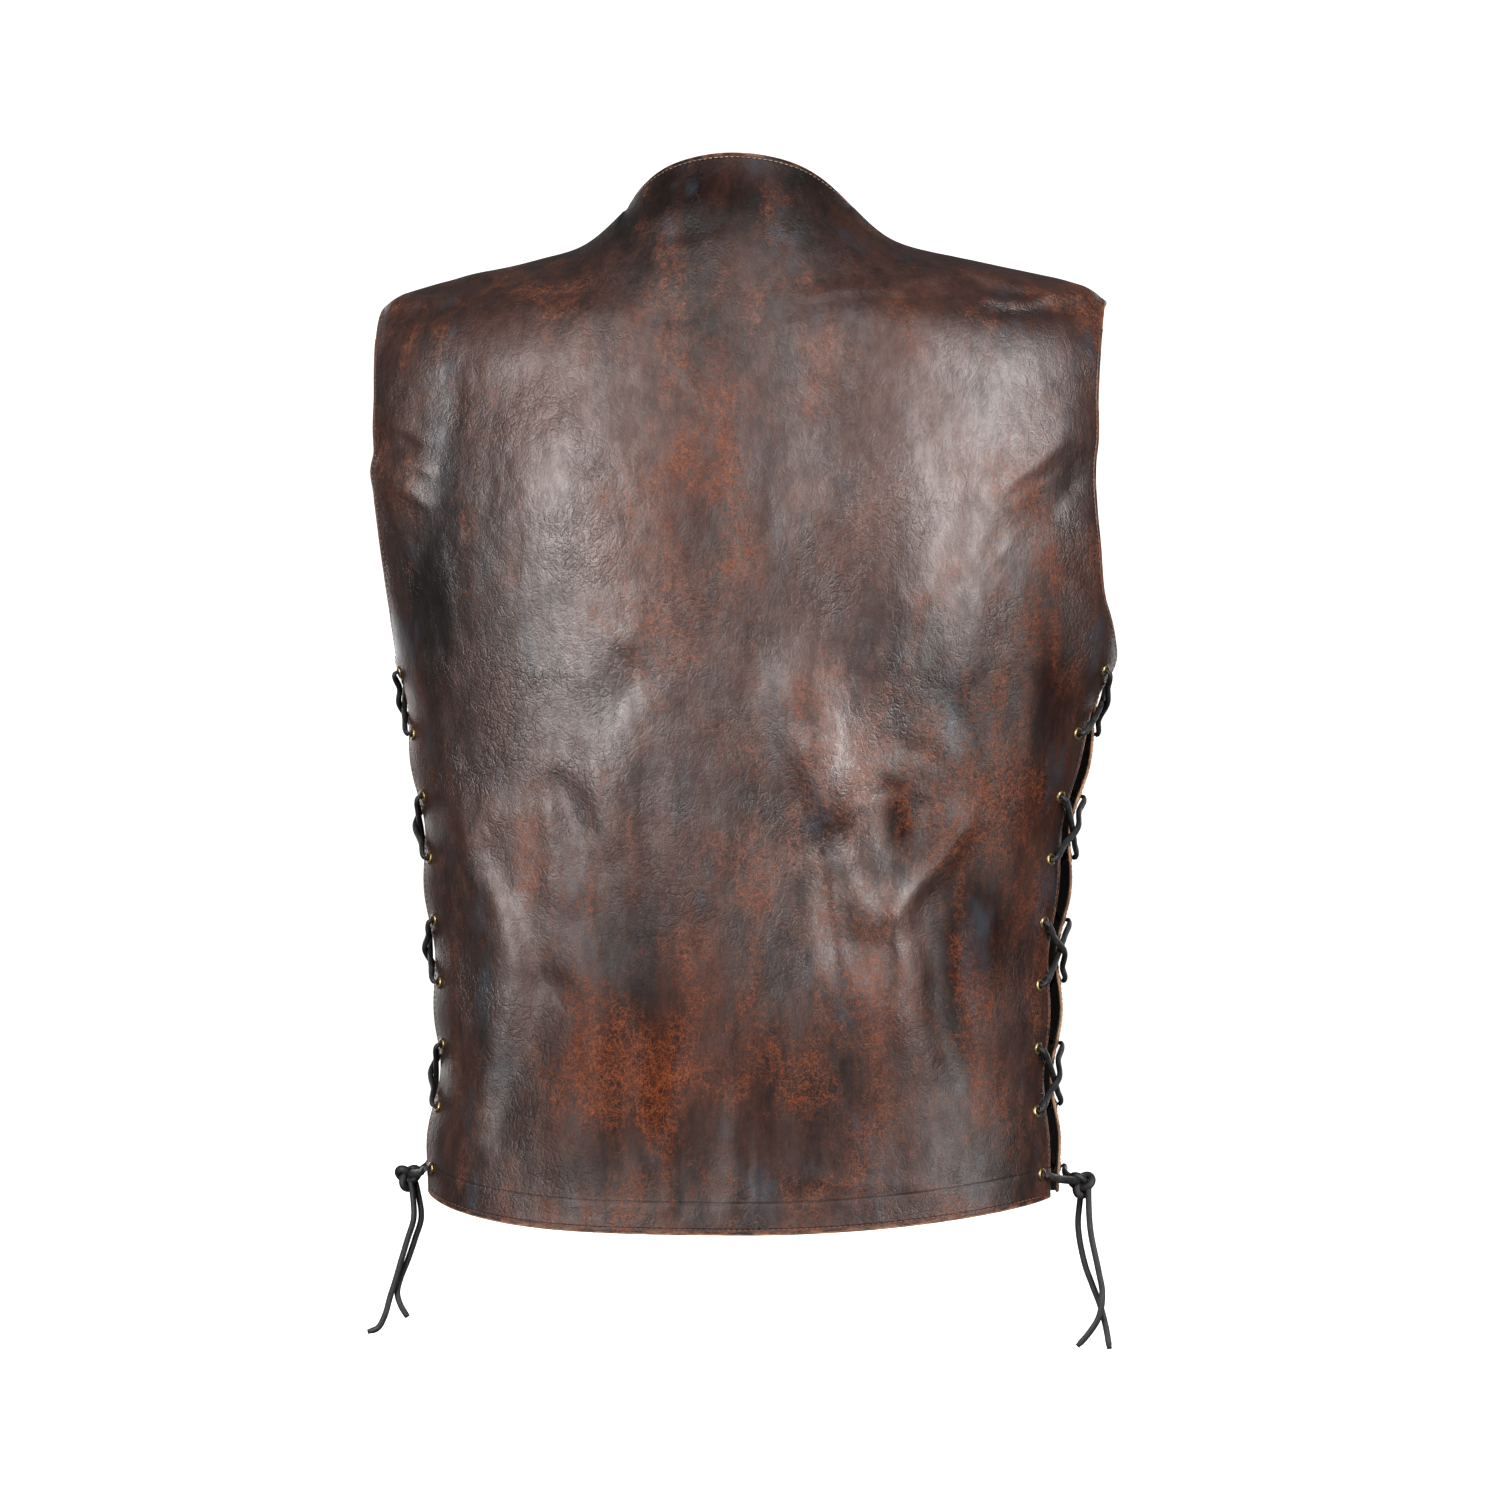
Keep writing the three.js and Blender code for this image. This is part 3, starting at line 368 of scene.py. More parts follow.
# ---- material helpers ----
class Graph:
    """Short names for the nodes that the materials use."""

    def __init__(self, name):
        self.material = bpy.data.materials.new(name)
        self.material.use_nodes = True
        self.tree = self.material.node_tree
        self.tree.nodes.clear()
        self.shader = self.node("BsdfPrincipled", {})
        self.node("OutputMaterial", {0: self.shader.outputs[0]})
        self.place = self.node("TexCoord", {}).outputs["Object"]

    def feed(self, node, inputs):
        """Link or set inputs of a node, each given by its name or number."""
        for key, value in inputs.items():
            if isinstance(value, bpy.types.NodeSocket):
                self.tree.links.new(value, node.inputs[key])
            else:
                node.inputs[key].default_value = value

    def node(self, kind, inputs, **settings):
        node = self.tree.nodes.new("ShaderNode" + kind)
        for name, setting in settings.items():
            setattr(node, name, setting)
        self.feed(node, inputs)
        return node

    def set(self, **values):
        self.feed(self.shader, {name.replace("_", " "): value for name, value in values.items()})

    def stretch(self, scale, place=None):
        return self.node("Mapping", {"Vector": place or self.place, "Scale": scale}).outputs[0]

    def noise(self, place, scale, detail=4.0, roughness=0.5, distortion=0.0, colour=False):
        node = self.node("TexNoise", {"Vector": place, "Scale": scale, "Detail": detail,
                                      "Roughness": roughness, "Distortion": distortion})
        return node.outputs["Color" if colour else 0]

    def cell_edges(self, place, scale):
        """Distance from the borders between random cells."""
        node = self.node("TexVoronoi", {"Vector": place, "Scale": scale}, feature="DISTANCE_TO_EDGE")
        return node.outputs["Distance"]

    def value(self, operation, a, b=0.0, c=0.0, clamp=False):
        return self.node("Math", {0: a, 1: b, 2: c}, operation=operation, use_clamp=clamp).outputs[0]

    def times(self, a, b):
        return self.value("MULTIPLY", a, b)

    def add(self, total, *terms):
        """total, with every value times its share added."""
        for value, share in terms:
            total = self.value("MULTIPLY_ADD", value, share, total)
        return total

    def span(self, value, low, high, to_low=0.0, to_high=1.0):
        """A smooth change from to_low to to_high while the value goes from low to high."""
        return self.node("MapRange", {"Value": value, "From Min": low, "From Max": high, "To Min": to_low,
                                      "To Max": to_high}, interpolation_type="SMOOTHSTEP").outputs[0]

    def line(self, value, centre, half):
        """1 where the value is at the centre, and 0 where it is half or more away."""
        return self.span(self.value("ABSOLUTE", self.value("SUBTRACT", value, centre)), 0.0, half, 1.0, 0.0)

    def mix(self, share, a, b):
        return self.node("Mix", {0: share, 6: a, 7: b}, data_type="RGBA").outputs[2]

    def layer(self, colour, mask, strength, over):
        return self.mix(self.times(mask, strength), colour, over)

    def nudge(self, place, amount, noise):
        """place moved by a coloured noise, which bends straight patterns."""
        inputs = {0: noise, 1: (amount, amount, amount), 2: place}
        return self.node("VectorMath", inputs, operation="MULTIPLY_ADD").outputs[0]

    def painted(self, name):
        return self.node("Attribute", {}, attribute_name=name).outputs["Fac"]

    def bump(self, height, distance, strength=1.0):
        return self.node("Bump", {"Strength": strength, "Distance": distance, "Height": height}).outputs[0]


def leather_material():
    g = Graph("distressed_leather")
    wander = g.noise(g.place, 40, 3, colour=True)
    tone_and_shading, wear, polish, edge, hem = (g.painted(n) for n in ("tone_and_shading", "wear", "polish", "edge", "hem"))

    # near black dye brushed up and down over a brown base, darker and lighter by the painted tone, which
    # holds painted shade and painted highlight
    streak = g.noise(g.nudge(g.stretch((70, 70, 11)), 0.6, wander), 1.0, 6, 0.66)
    fine_streak = g.noise(g.stretch((420, 420, 70)), 1.0, 4, 0.7)
    blotch = g.noise(g.stretch((1, 1, 0.62)), 22, 6, 0.62, 0.3)
    level = g.add(g.times(blotch, 0.4), (streak, 0.4), (fine_streak, 0.3), (tone_and_shading, 0.13))
    colour = g.mix(g.span(level, 0.36, 0.8), srgb(13, 9, 9), srgb(57, 30, 22))

    # rust shows through in flecks, thicker where the leather is worn
    worn = g.add(g.times(g.noise(g.stretch((1, 1, 0.45)), 38, 6, 0.66), 0.46), (wear, 0.12))
    fleck = g.noise(g.nudge(g.stretch((1, 1, 0.45)), 0.004, wander), 230, 8, 0.78)
    rust = g.span(g.value("ADD", fleck, worn), 0.77, 0.99)
    colour = g.layer(colour, rust, 0.46, srgb(88, 40, 21))

    # a net and fine veins of lighter rust in worn places
    bent = g.nudge(g.place, 0.008, g.noise(g.place, 90, 4, colour=True))
    vein = g.line(g.noise(bent, 150, 6, 0.62), 0.5, 0.022)
    fine_vein = g.line(g.noise(bent, 380, 4, 0.6), 0.5, 0.03)
    veined = g.span(worn, 0.21, 0.34)
    lines = g.times(g.value("MAXIMUM", vein, g.times(fine_vein, 0.7)), veined)
    net = g.span(g.cell_edges(g.stretch((1, 1, 0.8), bent), 300), 0.0, 0.11, 1.0, 0.0)
    net = g.times(net, g.span(g.value("ADD", g.noise(g.place, 60, 4, 0.6), worn), 0.75, 0.98))
    colour = g.layer(colour, net, 0.34, srgb(124, 62, 32))
    colour = g.layer(colour, lines, 0.6, srgb(142, 72, 34))
    specks = g.span(g.noise(g.place, 1000, 2, 0.6), 0.68, 0.76)
    colour = g.layer(colour, specks, g.times(veined, 0.5), srgb(150, 82, 50))

    # a thin blue-black tint where the dye lies thickest: a painted reflection on the waxed coat
    painted_blue_reflection = g.span(g.noise(g.stretch((1, 1, 0.4)), 30, 4, 0.6), 0.54, 0.7)
    colour = g.layer(colour, painted_blue_reflection, g.span(level, 0.64, 0.44, 0.0, 0.7), srgb(40, 46, 54))

    # edges rubbed bare, and the dark line where the hem is turned up
    rubbed = g.times(g.span(edge, 0.0003, 0.0022, 1.0, 0.0), g.span(g.noise(g.place, 120, 3), 0.4, 0.66))
    colour = g.layer(colour, rubbed, 0.6, srgb(140, 84, 56))
    hem_line = g.line(hem, 0.0185, 0.0016)
    colour = g.layer(colour, hem_line, 0.3, srgb(20, 14, 13))

    # creased patches, puckers, grain, pores and the grooves of the seams
    crack = g.span(g.cell_edges(g.stretch((1, 1, 0.75), bent), 210), 0.0, 0.2)
    fine_crack = g.span(g.cell_edges(bent, 520), 0.0, 0.25)
    creased = g.span(g.noise(g.place, 17, 3, 0.55), 0.46, 0.68, 0.3, 1.0)
    puckers = g.noise(g.nudge(g.stretch((1, 1, 0.7)), 0.01, wander), 95, 5, 0.6)
    puckered = g.span(g.noise(g.place, 13, 3), 0.46, 0.66, 0.3, 0.8)
    pores = g.noise(g.place, 1400, 3, 0.6)
    groove = g.line(edge, TOPSTITCH * 0.001, 0.0011)
    relief = g.add(g.times(puckers, puckered), (g.times(crack, creased), 0.2),
                   (g.times(fine_crack, creased), 0.12), (pores, 0.16), (groove, -0.4), (hem_line, -0.35),
                   (lines, -0.08))

    # rubbed and unevenly oiled gloss
    gloss = g.add(0.35, (g.noise(g.place, 60, 5, 0.6), 0.2), (rust, 0.1), (polish, -0.025),
                  (g.value("SUBTRACT", level, 0.55), 0.25))
    shine = g.value("MULTIPLY_ADD", polish, 0.24, 0.66, clamp=True)
    shine = g.times(shine, g.span(g.noise(g.stretch((1, 1, 0.5)), 130, 6, 0.7), 0.34, 0.66, 0.72, 1.16))
    g.set(Base_Color=colour, Roughness=gloss, Specular_IOR_Level=shine, Specular_Tint=(1, 0.9, 0.87, 1),
          Normal=g.bump(relief, 0.001), Coat_Weight=0.1, Coat_Roughness=0.42)
    return g.material


def flesh_material():
    g = Graph("leather_inside")
    nap = g.noise(g.place, 700, 5, 0.7)
    patch = g.noise(g.place, 30, 4)
    colour = g.mix(g.span(patch, 0.35, 0.65), srgb(34, 27, 25), srgb(48, 37, 32))
    colour = g.mix(g.span(nap, 0.4, 0.7, 0.0, 0.5), colour, srgb(66, 50, 42))
    g.set(Base_Color=colour, Roughness=0.92, Normal=g.bump(nap, 0.0004, 0.7), Sheen_Weight=0.2)
    return g.material


def cut_edge_material():
    g = Graph("leather_cut_edge")
    fibre = g.noise(g.place, 900, 4, 0.6)
    patch = g.noise(g.place, 90, 3)
    colour = g.mix(g.span(patch, 0.36, 0.62), srgb(92, 62, 46), srgb(168, 128, 96))
    colour = g.mix(g.span(fibre, 0.4, 0.7, 0.0, 0.5), colour, srgb(70, 44, 32))
    g.set(Base_Color=colour, Roughness=0.8, Normal=g.bump(fibre, 0.0002, 0.7))
    return g.material


def thread_material(name, light, dark):
    g = Graph(name)
    ply = g.noise(g.place, 1400, 2)
    patch = g.noise(g.place, 45, 3)
    colour = g.mix(g.span(patch, 0.35, 0.65), light, dark)
    colour = g.mix(g.span(ply, 0.4, 0.65, 0.0, 0.4), colour, srgb(40, 30, 26))
    g.set(Base_Color=colour, Roughness=0.75, Normal=g.bump(ply, 0.00015, 0.6))
    return g.material


def lace_material():
    g = Graph("black_lace")
    grain = g.noise(g.place, 900, 4, 0.6)
    rub = g.noise(g.place, 160, 4)
    colour = g.mix(g.span(rub, 0.45, 0.75), srgb(17, 16, 17), srgb(44, 40, 39))
    g.set(Base_Color=colour, Roughness=g.span(rub, 0.3, 0.7, 0.5, 0.72), Normal=g.bump(grain, 0.0003, 0.7))
    return g.material


def brass_material():
    g = Graph("antique_brass")
    patch = g.noise(g.place, 420, 4, 0.6)
    grime = g.noise(g.place, 900, 3)
    colour = g.mix(g.span(patch, 0.36, 0.62), srgb(96, 84, 58), srgb(176, 152, 104))
    colour = g.mix(g.span(grime, 0.5, 0.7, 0.0, 0.6), colour, srgb(60, 52, 38))
    g.set(Base_Color=colour, Metallic=0.9, Roughness=g.span(patch, 0.3, 0.7, 0.46, 0.28),
          Normal=g.bump(grime, 0.0001, 0.5))
    return g.material


def stage_material():
    g = Graph("pale_stage")
    g.set(Base_Color=(0.8, 0.8, 0.8, 1), Roughness=0.9, Emission_Color=(1, 1, 1, 1), Emission_Strength=1.0)
    return g.material


# ---- the vest's form, read at any place ----
def read_column(table, column, z):
    zs, values = table[:, 0], table[:, column]
    last = len(zs) - 1
    z = np.clip(z, zs[0], zs[-1])
    i = np.clip(np.searchsorted(zs, z, side="left") - 1, 0, last - 1)
    low, high = np.maximum(np.arange(last + 1) - 1, 0), np.minimum(np.arange(last + 1) + 1, last)
    slope = (values[high] - values[low]) / (zs[high] - zs[low])
    span = zs[i + 1] - zs[i]
    return hermite((z - zs[i]) / span, values[i], slope[i] * span, values[i + 1], slope[i + 1] * span)


def top_outline(x):
    d = np.abs(x)
    hump = SHOULDER["inset"] * np.exp(-((d / SHOULDER["width"]) ** SHOULDER["power"]))
    tip = SHOULDER["round"] * smooth_step(SHOULDER["half"] - 34, SHOULDER["half"], d)
    fall = SHOULDER["slope"] * (np.hypot(d, SHOULDER["crown"]) - SHOULDER["crown"])
    tip = tip + SHOULDER["corner"] * smooth_step(SHOULDER["half"] - 15, SHOULDER["half"] + 3, d)
    return NECK["top"] - SHOULDER["inset"] + hump - fall - tip


def lace_wave(z):
    crossing = LACING["top"] - LACING["pitch"] / 2
    hold = smooth_step(UNDERARM_Z + 6, UNDERARM_Z - 12, z)
    return np.cos(math.pi * (z - crossing) / LACING["pitch"]) * hold


def edge_angle(face, z):
    distance = read_column(SIDE_EDGES, EDGE_COLUMN[face], z) - LACING["wave"] * lace_wave(z)
    ratio = distance / read_column(TORSO, DEPTH[face], z)
    return np.arcsin((1 - ratio ** ROUNDNESS) ** (1 / ROUNDNESS))


def form_point(face, angle, z):
    side = np.sin(angle)
    depth = (1 - np.minimum(np.abs(side), 1) ** ROUNDNESS) ** (1 / ROUNDNESS)
    depth = depth * read_column(TORSO, DEPTH[face], z)
    y = depth if face == "back" else -depth
    return np.stack([read_column(TORSO, HALF, z) * side, y, z + 0 * side], -1)


def angle_across(face, across, z):
    if face == "back":
        return across * edge_angle(face, z)
    up = np.maximum(z - FRONT_EDGE["v_neck_z"], 0) / (YOKE_Z - FRONT_EDGE["v_neck_z"])
    x = -FRONT_EDGE["overlap"] + (FRONT_EDGE["yoke_x"] + FRONT_EDGE["overlap"]) * up
    inner = np.arcsin(x / read_column(TORSO, HALF, z))
    return inner + across * (edge_angle(face, z) - inner)


def lower_point(face, across, up):
    level = HEM_Z + up * (YOKE_Z - HEM_Z) + 0 * across
    side = np.sin(angle_across(face, across, level))
    power = np.where(side < 0, HEM_DROP["right_power"], HEM_DROP["left_power"])
    z = level - (1 - up) * HEM_DROP[face] * (1 - np.abs(side) ** power)
    return form_point(face, angle_across(face, across, z), z)


def seam_point(t):
    x = NECK["half"] + (SHOULDER["half"] - NECK["half"]) * t
    return np.stack([x, NECK["y"] + (SHOULDER["y"] - NECK["y"]) * t, top_outline(x)], -1)


def panel_top(face, across):
    """Upper edge of a panel and how the leather arrives at it."""
    if face == "front":
        at = seam_point(across)
        at[..., 1] -= SEAM_APART
        return at, np.broadcast_to(np.array([0, 1, -SEAM_FALL]), at.shape)
    share = np.abs(across)
    done = np.minimum(share / NECK["share"], 1)
    turn = done * math.pi / 2
    x = NECK["half"] * np.sin(turn)
    neck = np.stack([x, NECK["y"] + NECK["back"] * np.cos(turn), top_outline(x)], -1)
    lean_in = NECK["lean_in"] + NECK_LEAN_CHANGE["in"] * done ** 2
    lean_up = NECK["lean_up"] + NECK_LEAN_CHANGE["up"] * done ** 2
    neck_lean = np.stack([0 * done, -lean_in, lean_up], -1)
    seam = seam_point(np.clip((share - NECK["share"]) / (1 - NECK["share"]), 0, 1))
    seam[..., 1] += SEAM_APART
    on_neck = (share <= NECK["share"])[..., None]
    at = np.where(on_neck, neck, seam)
    at[..., 0] *= np.sign(across)
    lean = np.where(on_neck, neck_lean, np.array([0, -1, -SEAM_FALL]))
    return at, lean


def upper_point(face, across, up):
    start = lower_point(face, across, np.ones_like(across))
    before = lower_point(face, across, np.full_like(across, JUST_BELOW_YOKE))
    at, lean = panel_top(face, across)
    reach = np.linalg.norm(at - start, axis=-1, keepdims=True)
    return hermite(up[..., None], start, unit(start - before) * reach, at, unit(lean) * reach)


def grid_normals(grid, flip):
    across = np.gradient(grid, axis=1)
    up = np.gradient(grid, axis=0)
    normal = unit(np.cross(across, up))
    return -normal if flip else normal


def fold_rise(folds, x, z, wider):
    """Soft ridges and troughs; each wanders a little, fades at its ends and is steeper on one side."""
    wander_x = x + FOLD_WANDER * noise_field(x, z, 34, 46, 5)
    wander_z = z + FOLD_WANDER * noise_field(x, z, 40, 36, 6)
    rise = np.zeros_like(x)
    for x0, z0, x1, z1, width, height in folds:
        ax, az = x1 - x0, z1 - z0
        dx, dz = wander_x - x0, wander_z - z0
        share = (dx * ax + dz * az) / (ax * ax + az * az)
        t = np.clip(share, 0, 1)
        distance = np.hypot(dx - t * ax, dz - t * az)
        reach = width * wider * np.where(dx * az - dz * ax > 0, 1.3, 0.85)
        fade = smooth_step(-0.35, 0.25, share) * smooth_step(1.35, 0.75, share)
        rise += height * fade * np.exp(-((distance / reach) ** 2))
    return rise


def spots(rows, x, z):
    """Sum of soft round spots: x, z, reach along x and z, height."""
    rise = np.zeros_like(x)
    for cx, cz, rx, rz, height in rows:
        rise += height * np.exp(-(((x - cx) / rx) ** 2) - ((z - cz) / rz) ** 2)
    return rise


def noise_field(x, z, across, up, seed):
    """Smooth random values from -1 to 1, in cells of this width and height."""
    table = np.random.RandomState(seed).uniform(-1, 1, (64, 64))
    u, v = x / across + 90, z / up + 90
    i, j = np.floor(u).astype(int), np.floor(v).astype(int)
    s, t = u - i, v - j
    s, t = s * s * (3 - 2 * s), t * t * (3 - 2 * t)
    low = table[i % 64, j % 64] * (1 - s) + table[(i + 1) % 64, j % 64] * s
    high = table[i % 64, (j + 1) % 64] * (1 - s) + table[(i + 1) % 64, (j + 1) % 64] * s
    return low * (1 - t) + high * t


def unevenness(x, z, seed):
    """Soft waves of worn leather, longer up and down than across."""
    slow = noise_field(x, z, 34, 70, seed)
    medium = noise_field(x, z, 15, 26, seed + 1)
    quick = noise_field(x, z, 7, 10, seed + 2)
    return 0.85 * slow + 0.34 * medium + 0.13 * quick


def along_border(grid, border):
    """Arc length of every grid point from one border of the panel."""
    axis = 0 if border in ("bottom", "top") else 1
    steps = np.linalg.norm(np.diff(grid, axis=axis), axis=-1)
    run = np.insert(np.cumsum(steps, axis=axis), 0, 0, axis=axis)
    return run if border in ("bottom", "start") else np.take(run, [-1], axis=axis) - run


class Panel:
    """A leather panel: a grid of points with its folds, creases and swells, and their normals."""

    def __init__(self, name, face, side, folds, creases, swells, lifted, seed):
        self.name, self.face = name, face
        self.flip = (face == "back") or side < 0
        self.across = np.linspace(-1 if face == "back" else 0, 1, COLUMNS[face] + 1)
        upper = np.arange(UPPER_ROWS + 1) / UPPER_ROWS
        base = np.vstack([lower_point(face, *np.meshgrid(self.across, np.arange(LOWER_ROWS) / LOWER_ROWS)),
                          upper_point(face, *np.meshgrid(self.across, upper))])
        share = np.concatenate([np.zeros(LOWER_ROWS), upper])
        in_rows = np.interp(share, UPPER_ROW_SHARES, range(len(UPPER_ROW_SHARES)))
        seam_hold = smooth_step(len(UPPER_ROW_SHARES) - 1, len(UPPER_ROW_SHARES) - 4, in_rows)[:, None]
        across = np.abs(np.broadcast_to(self.across, base.shape[:2]))
        x, z = base[..., 0], base[..., 2]
        outward = grid_normals(base, face == "back")
        scallop = -LACING["scallop"] * lace_wave(z) * np.exp(-(1 - across) / LACING["reach"])
        lace_hold = np.where(z > UNDERARM_Z, 1, smooth_step(FOLDS_END, FOLDS_FULL, across))
        beyond_overlap = smooth_step(FRONT_EDGE["lift_from"], FRONT_EDGE["lift_to"], x)
        overlap_hold, fold_x = (1, x) if face == "back" else (beyond_overlap, np.abs(x))
        folded = FOLD_SCALE["height"] * fold_rise(folds, fold_x, z, FOLD_SCALE["width"])
        folded = folded * lace_hold * overlap_hold
        fine = CREASE_SCALE["height"] * fold_rise(creases, fold_x, z, CREASE_SCALE["width"])
        fine = (fine + unevenness(fold_x, z, seed)) * np.minimum(lace_hold + 0.15, 1)
        from_corner = np.hypot(np.abs(x) - NECK["half"], base[..., 1] - NECK["y"])
        fine = fine * (0.25 + 0.75 * overlap_hold) * smooth_step(*CALM_AT_NECK_CORNER, from_corner)
        lift = (WALL + 2 * GAP) * (1 - beyond_overlap) if lifted else 0.0
        hem_height = along_border(base, "bottom")
        turn_up = HEM_TURN["rise"] * smooth_step(HEM_TURN["above"], HEM_TURN["below"], hem_height)
        out = (folded + fine + spots(swells, fold_x, z)) * seam_hold + scallop + lift + turn_up
        self.grid = base + outward * out[..., None]
        self.grid[..., 0] = side * self.grid[..., 0] + read_column(TORSO, SHIFT, self.grid[..., 2])
        self.normals = grid_normals(self.grid, self.flip)
        self.relief = (folded + fine) * seam_hold

    def spot(self, across, row):
        """Point and outward normal at a place given by share across and row number."""
        c = np.interp(across, self.across, np.arange(len(self.across)))
        r = np.asarray(row, float)
        c0 = np.clip(np.floor(c).astype(int), 0, self.grid.shape[1] - 2)
        r0 = np.clip(np.floor(r).astype(int), 0, self.grid.shape[0] - 2)
        s, t = (c - c0)[..., None], (r - r0)[..., None]

        def read(field):
            low = field[r0, c0] * (1 - s) + field[r0, c0 + 1] * s
            high = field[r0 + 1, c0] * (1 - s) + field[r0 + 1, c0 + 1] * s
            return low * (1 - t) + high * t

        return read(self.grid), unit(read(self.normals))

    def row_at(self, across, z):
        """Row number where the column at this share has this height."""
        column = int(round(np.interp(across, self.across, np.arange(len(self.across)))))
        return float(np.interp(z, self.grid[:, column, 2], np.arange(self.grid.shape[0])))

    def inset_line(self, border, inset, first, last):
        """Points and normals of a line that runs inside one border at a distance."""
        upright = border in ("start", "end")
        run = along_border(self.grid, border)
        run = run if upright else run.T
        steps = self.across if upright else np.arange(run.shape[1])
        sign = 1 if border in ("bottom", "start") else -1
        picks = np.arange(int(first * (len(run) - 1)), int(last * (len(run) - 1)) + 1)
        at = np.array([np.interp(sign * inset, sign * run[i], steps) for i in picks])
        return self.spot(at, picks) if upright else self.spot(self.across[picks], at)


def panel_mesh(panel, materials, attributes):
    """Thin shell: fine outside, half as fine inside, and a rounded rim between them."""
    grid, normals = panel.grid, panel.normals
    rows, columns = grid.shape[:2]
    outer = np.arange(rows * columns).reshape(rows, columns)
    vertices = [grid.reshape(-1, 3)]
    count = rows * columns
    inner_grid = (grid - normals * WALL)[::2, ::2]
    inner = count + np.arange(inner_grid.shape[0] * inner_grid.shape[1]).reshape(inner_grid.shape[:2])
    vertices.append(inner_grid.reshape(-1, 3))
    count += inner.size

    def quads(index, turned):
        a, b, c, d = index[:-1, :-1], index[:-1, 1:], index[1:, 1:], index[1:, :-1]
        order = (a, d, c, b) if turned else (a, b, c, d)
        return np.stack(order, -1).reshape(-1, 4)

    faces = [tuple(q) for q in quads(outer, panel.flip).tolist()]
    outside = len(faces)
    faces += [tuple(q) for q in quads(inner, not panel.flip).tolist()]
    inside = len(faces)

    ring = ([(0, c) for c in range(columns - 1)] + [(r, columns - 1) for r in range(rows - 1)]
            + [(rows - 1, c) for c in range(columns - 1, 0, -1)] + [(r, 0) for r in range(rows - 1, 0, -1)])
    rr, cc = np.array(ring).T
    rim = grid[rr, cc]
    rim_normal = normals[rr, cc]
    along = np.roll(rim, -1, axis=0) - np.roll(rim, 1, axis=0)
    outward = unit(np.cross(along, rim_normal)) * (-1 if panel.flip else 1)
    on_seam = (rr == rows - 1) & ((panel.face == "front") | (np.abs(panel.across[cc]) > NECK["share"]))
    bulge = np.where(on_seam, 0.0, 1.0)[:, None]
    previous = outer[rr, cc]
    size = len(ring)
    for out, down in ((0.6, 0.3), (0.9, 1.0), (0.6, 1.7)):
        vertices.append(rim + outward * out * bulge - rim_normal * down)
        current = count + np.arange(size)
        count += size
        for i in range(size):
            j = (i + 1) % size
            quad = (previous[i], current[i], current[j], previous[j])
            faces.append(quad if not panel.flip else tuple(reversed(quad)))
        previous = current
    inner_ring = inner[rr // 2, cc // 2]
    for i in range(0, size, 2):
        j, k = (i + 1) % size, (i + 2) % size
        face = (previous[i], inner_ring[i], inner_ring[k], previous[k], previous[j])
        faces.append(face if not panel.flip else tuple(reversed(face)))
    faces = [tuple(int(i) for i in face) for face in faces]
    kinds = np.zeros(len(faces), int)
    kinds[outside:inside] = 1
    kinds[inside:] = 2
    thing = mesh_object(panel.name, np.vstack(vertices), faces, materials, kinds)
    for name, values in attributes.items():
        field = np.zeros(count, np.float32)
        field[:outer.size] = values.reshape(-1)
        attribute = thing.data.attributes.new(name, "FLOAT", "POINT")
        attribute.data.foreach_set("value", field)
    return thing


# Tone of the back, part dye blotches and part painted light: painted shade darkens the neck, the hollows of
# the V fold on the right and the band along the hem, and painted highlight lightens the swells of the upper
# back. Columns: x, z, reach along x and z, tone (dark below 0) and wear (rust above 0). The fronts take the
# same spots, weaker.
BACK_TONES_AND_SHADING = [
    (0, 40, 80, 34, -0.9, -0.5), (30, -28, 16, 16, -1.2, 0.6),
    (12, -40, 12, 20, -1.2, 0.0), (22, -150, 40, 90, 0.5, 0.5),
    (100, -130, 46, 90, 0.6, -0.4), (-100, -140, 50, 100, 0.6, -0.3),
    (180, -150, 14, 70, -1.1, -0.4), (186, -215, 14, 40, -1.1, -0.4),
    (120, -240, 50, 50, -0.4, -0.8), (-160, -300, 26, 60, -0.8, 0.5),
    (-130, -330, 22, 40, -0.6, 0.5), (90, -480, 30, 60, 0.0, 0.7),
    (150, -430, 20, 80, -0.3, -0.2), (40, -500, 20, 60, 0.2, 0.7),
    (-90, -420, 20, 50, -0.1, 0.8), (-20, -420, 16, 60, -0.6, 0.6),
    (-60, -500, 30, 40, -0.6, 0.4), (-150, -500, 30, 60, -0.4, 0.4),
    (-190, -200, 16, 60, -0.3, 0.5), (0, -570, 160, 14, -0.5, 0.3),
    (-142, -404, 20, 44, -0.8, 0.3), (-60, -362, 10, 40, -1.0, 0.5),
    (-106, -346, 12, 26, -0.7, 0.0),
]

# Polish of the back: x, z, reach along x and z, shine (matt below 0)
BACK_POLISH = [
    (92, -140, 50, 100, 1.3), (68, -245, 50, 80, 1.1),
    (-150, -130, 44, 90, 1.5), (-196, -110, 20, 50, 1.2),
    (200, -110, 16, 50, 1.4), (186, -470, 18, 60, 1.6),
    (-76, -300, 20, 40, 2.6), (-82, -346, 12, 36, 3.2),
    (-106, -346, 11, 28, -3), (-108, -396, 14, 24, 1.6),
    (-150, -410, 26, 60, -3.2), (-156, -290, 16, 50, -1.2),
    (-196, -250, 24, 110, -2.4), (134, -420, 20, 60, 0.8),
    (-58, -418, 30, 45, 0.7), (-110, -440, 20, 50, 0.4),
    (0, -520, 200, 90, -1.6), (-190, -360, 30, 150, -0.8),
    (0, 45, 80, 30, -2.6), (14, -140, 30, 110, -1.6),
    (20, -400, 40, 110, -0.6), (200, -200, 20, 80, -0.4),
    (60, -480, 50, 90, -1.6), (-60, -500, 60, 60, -0.8),
]
# Shares of the tone with its painted shade and highlight, the wear and the polish that the fronts take
FRONT_SHARES = (0.8, 0.5, 0.6)


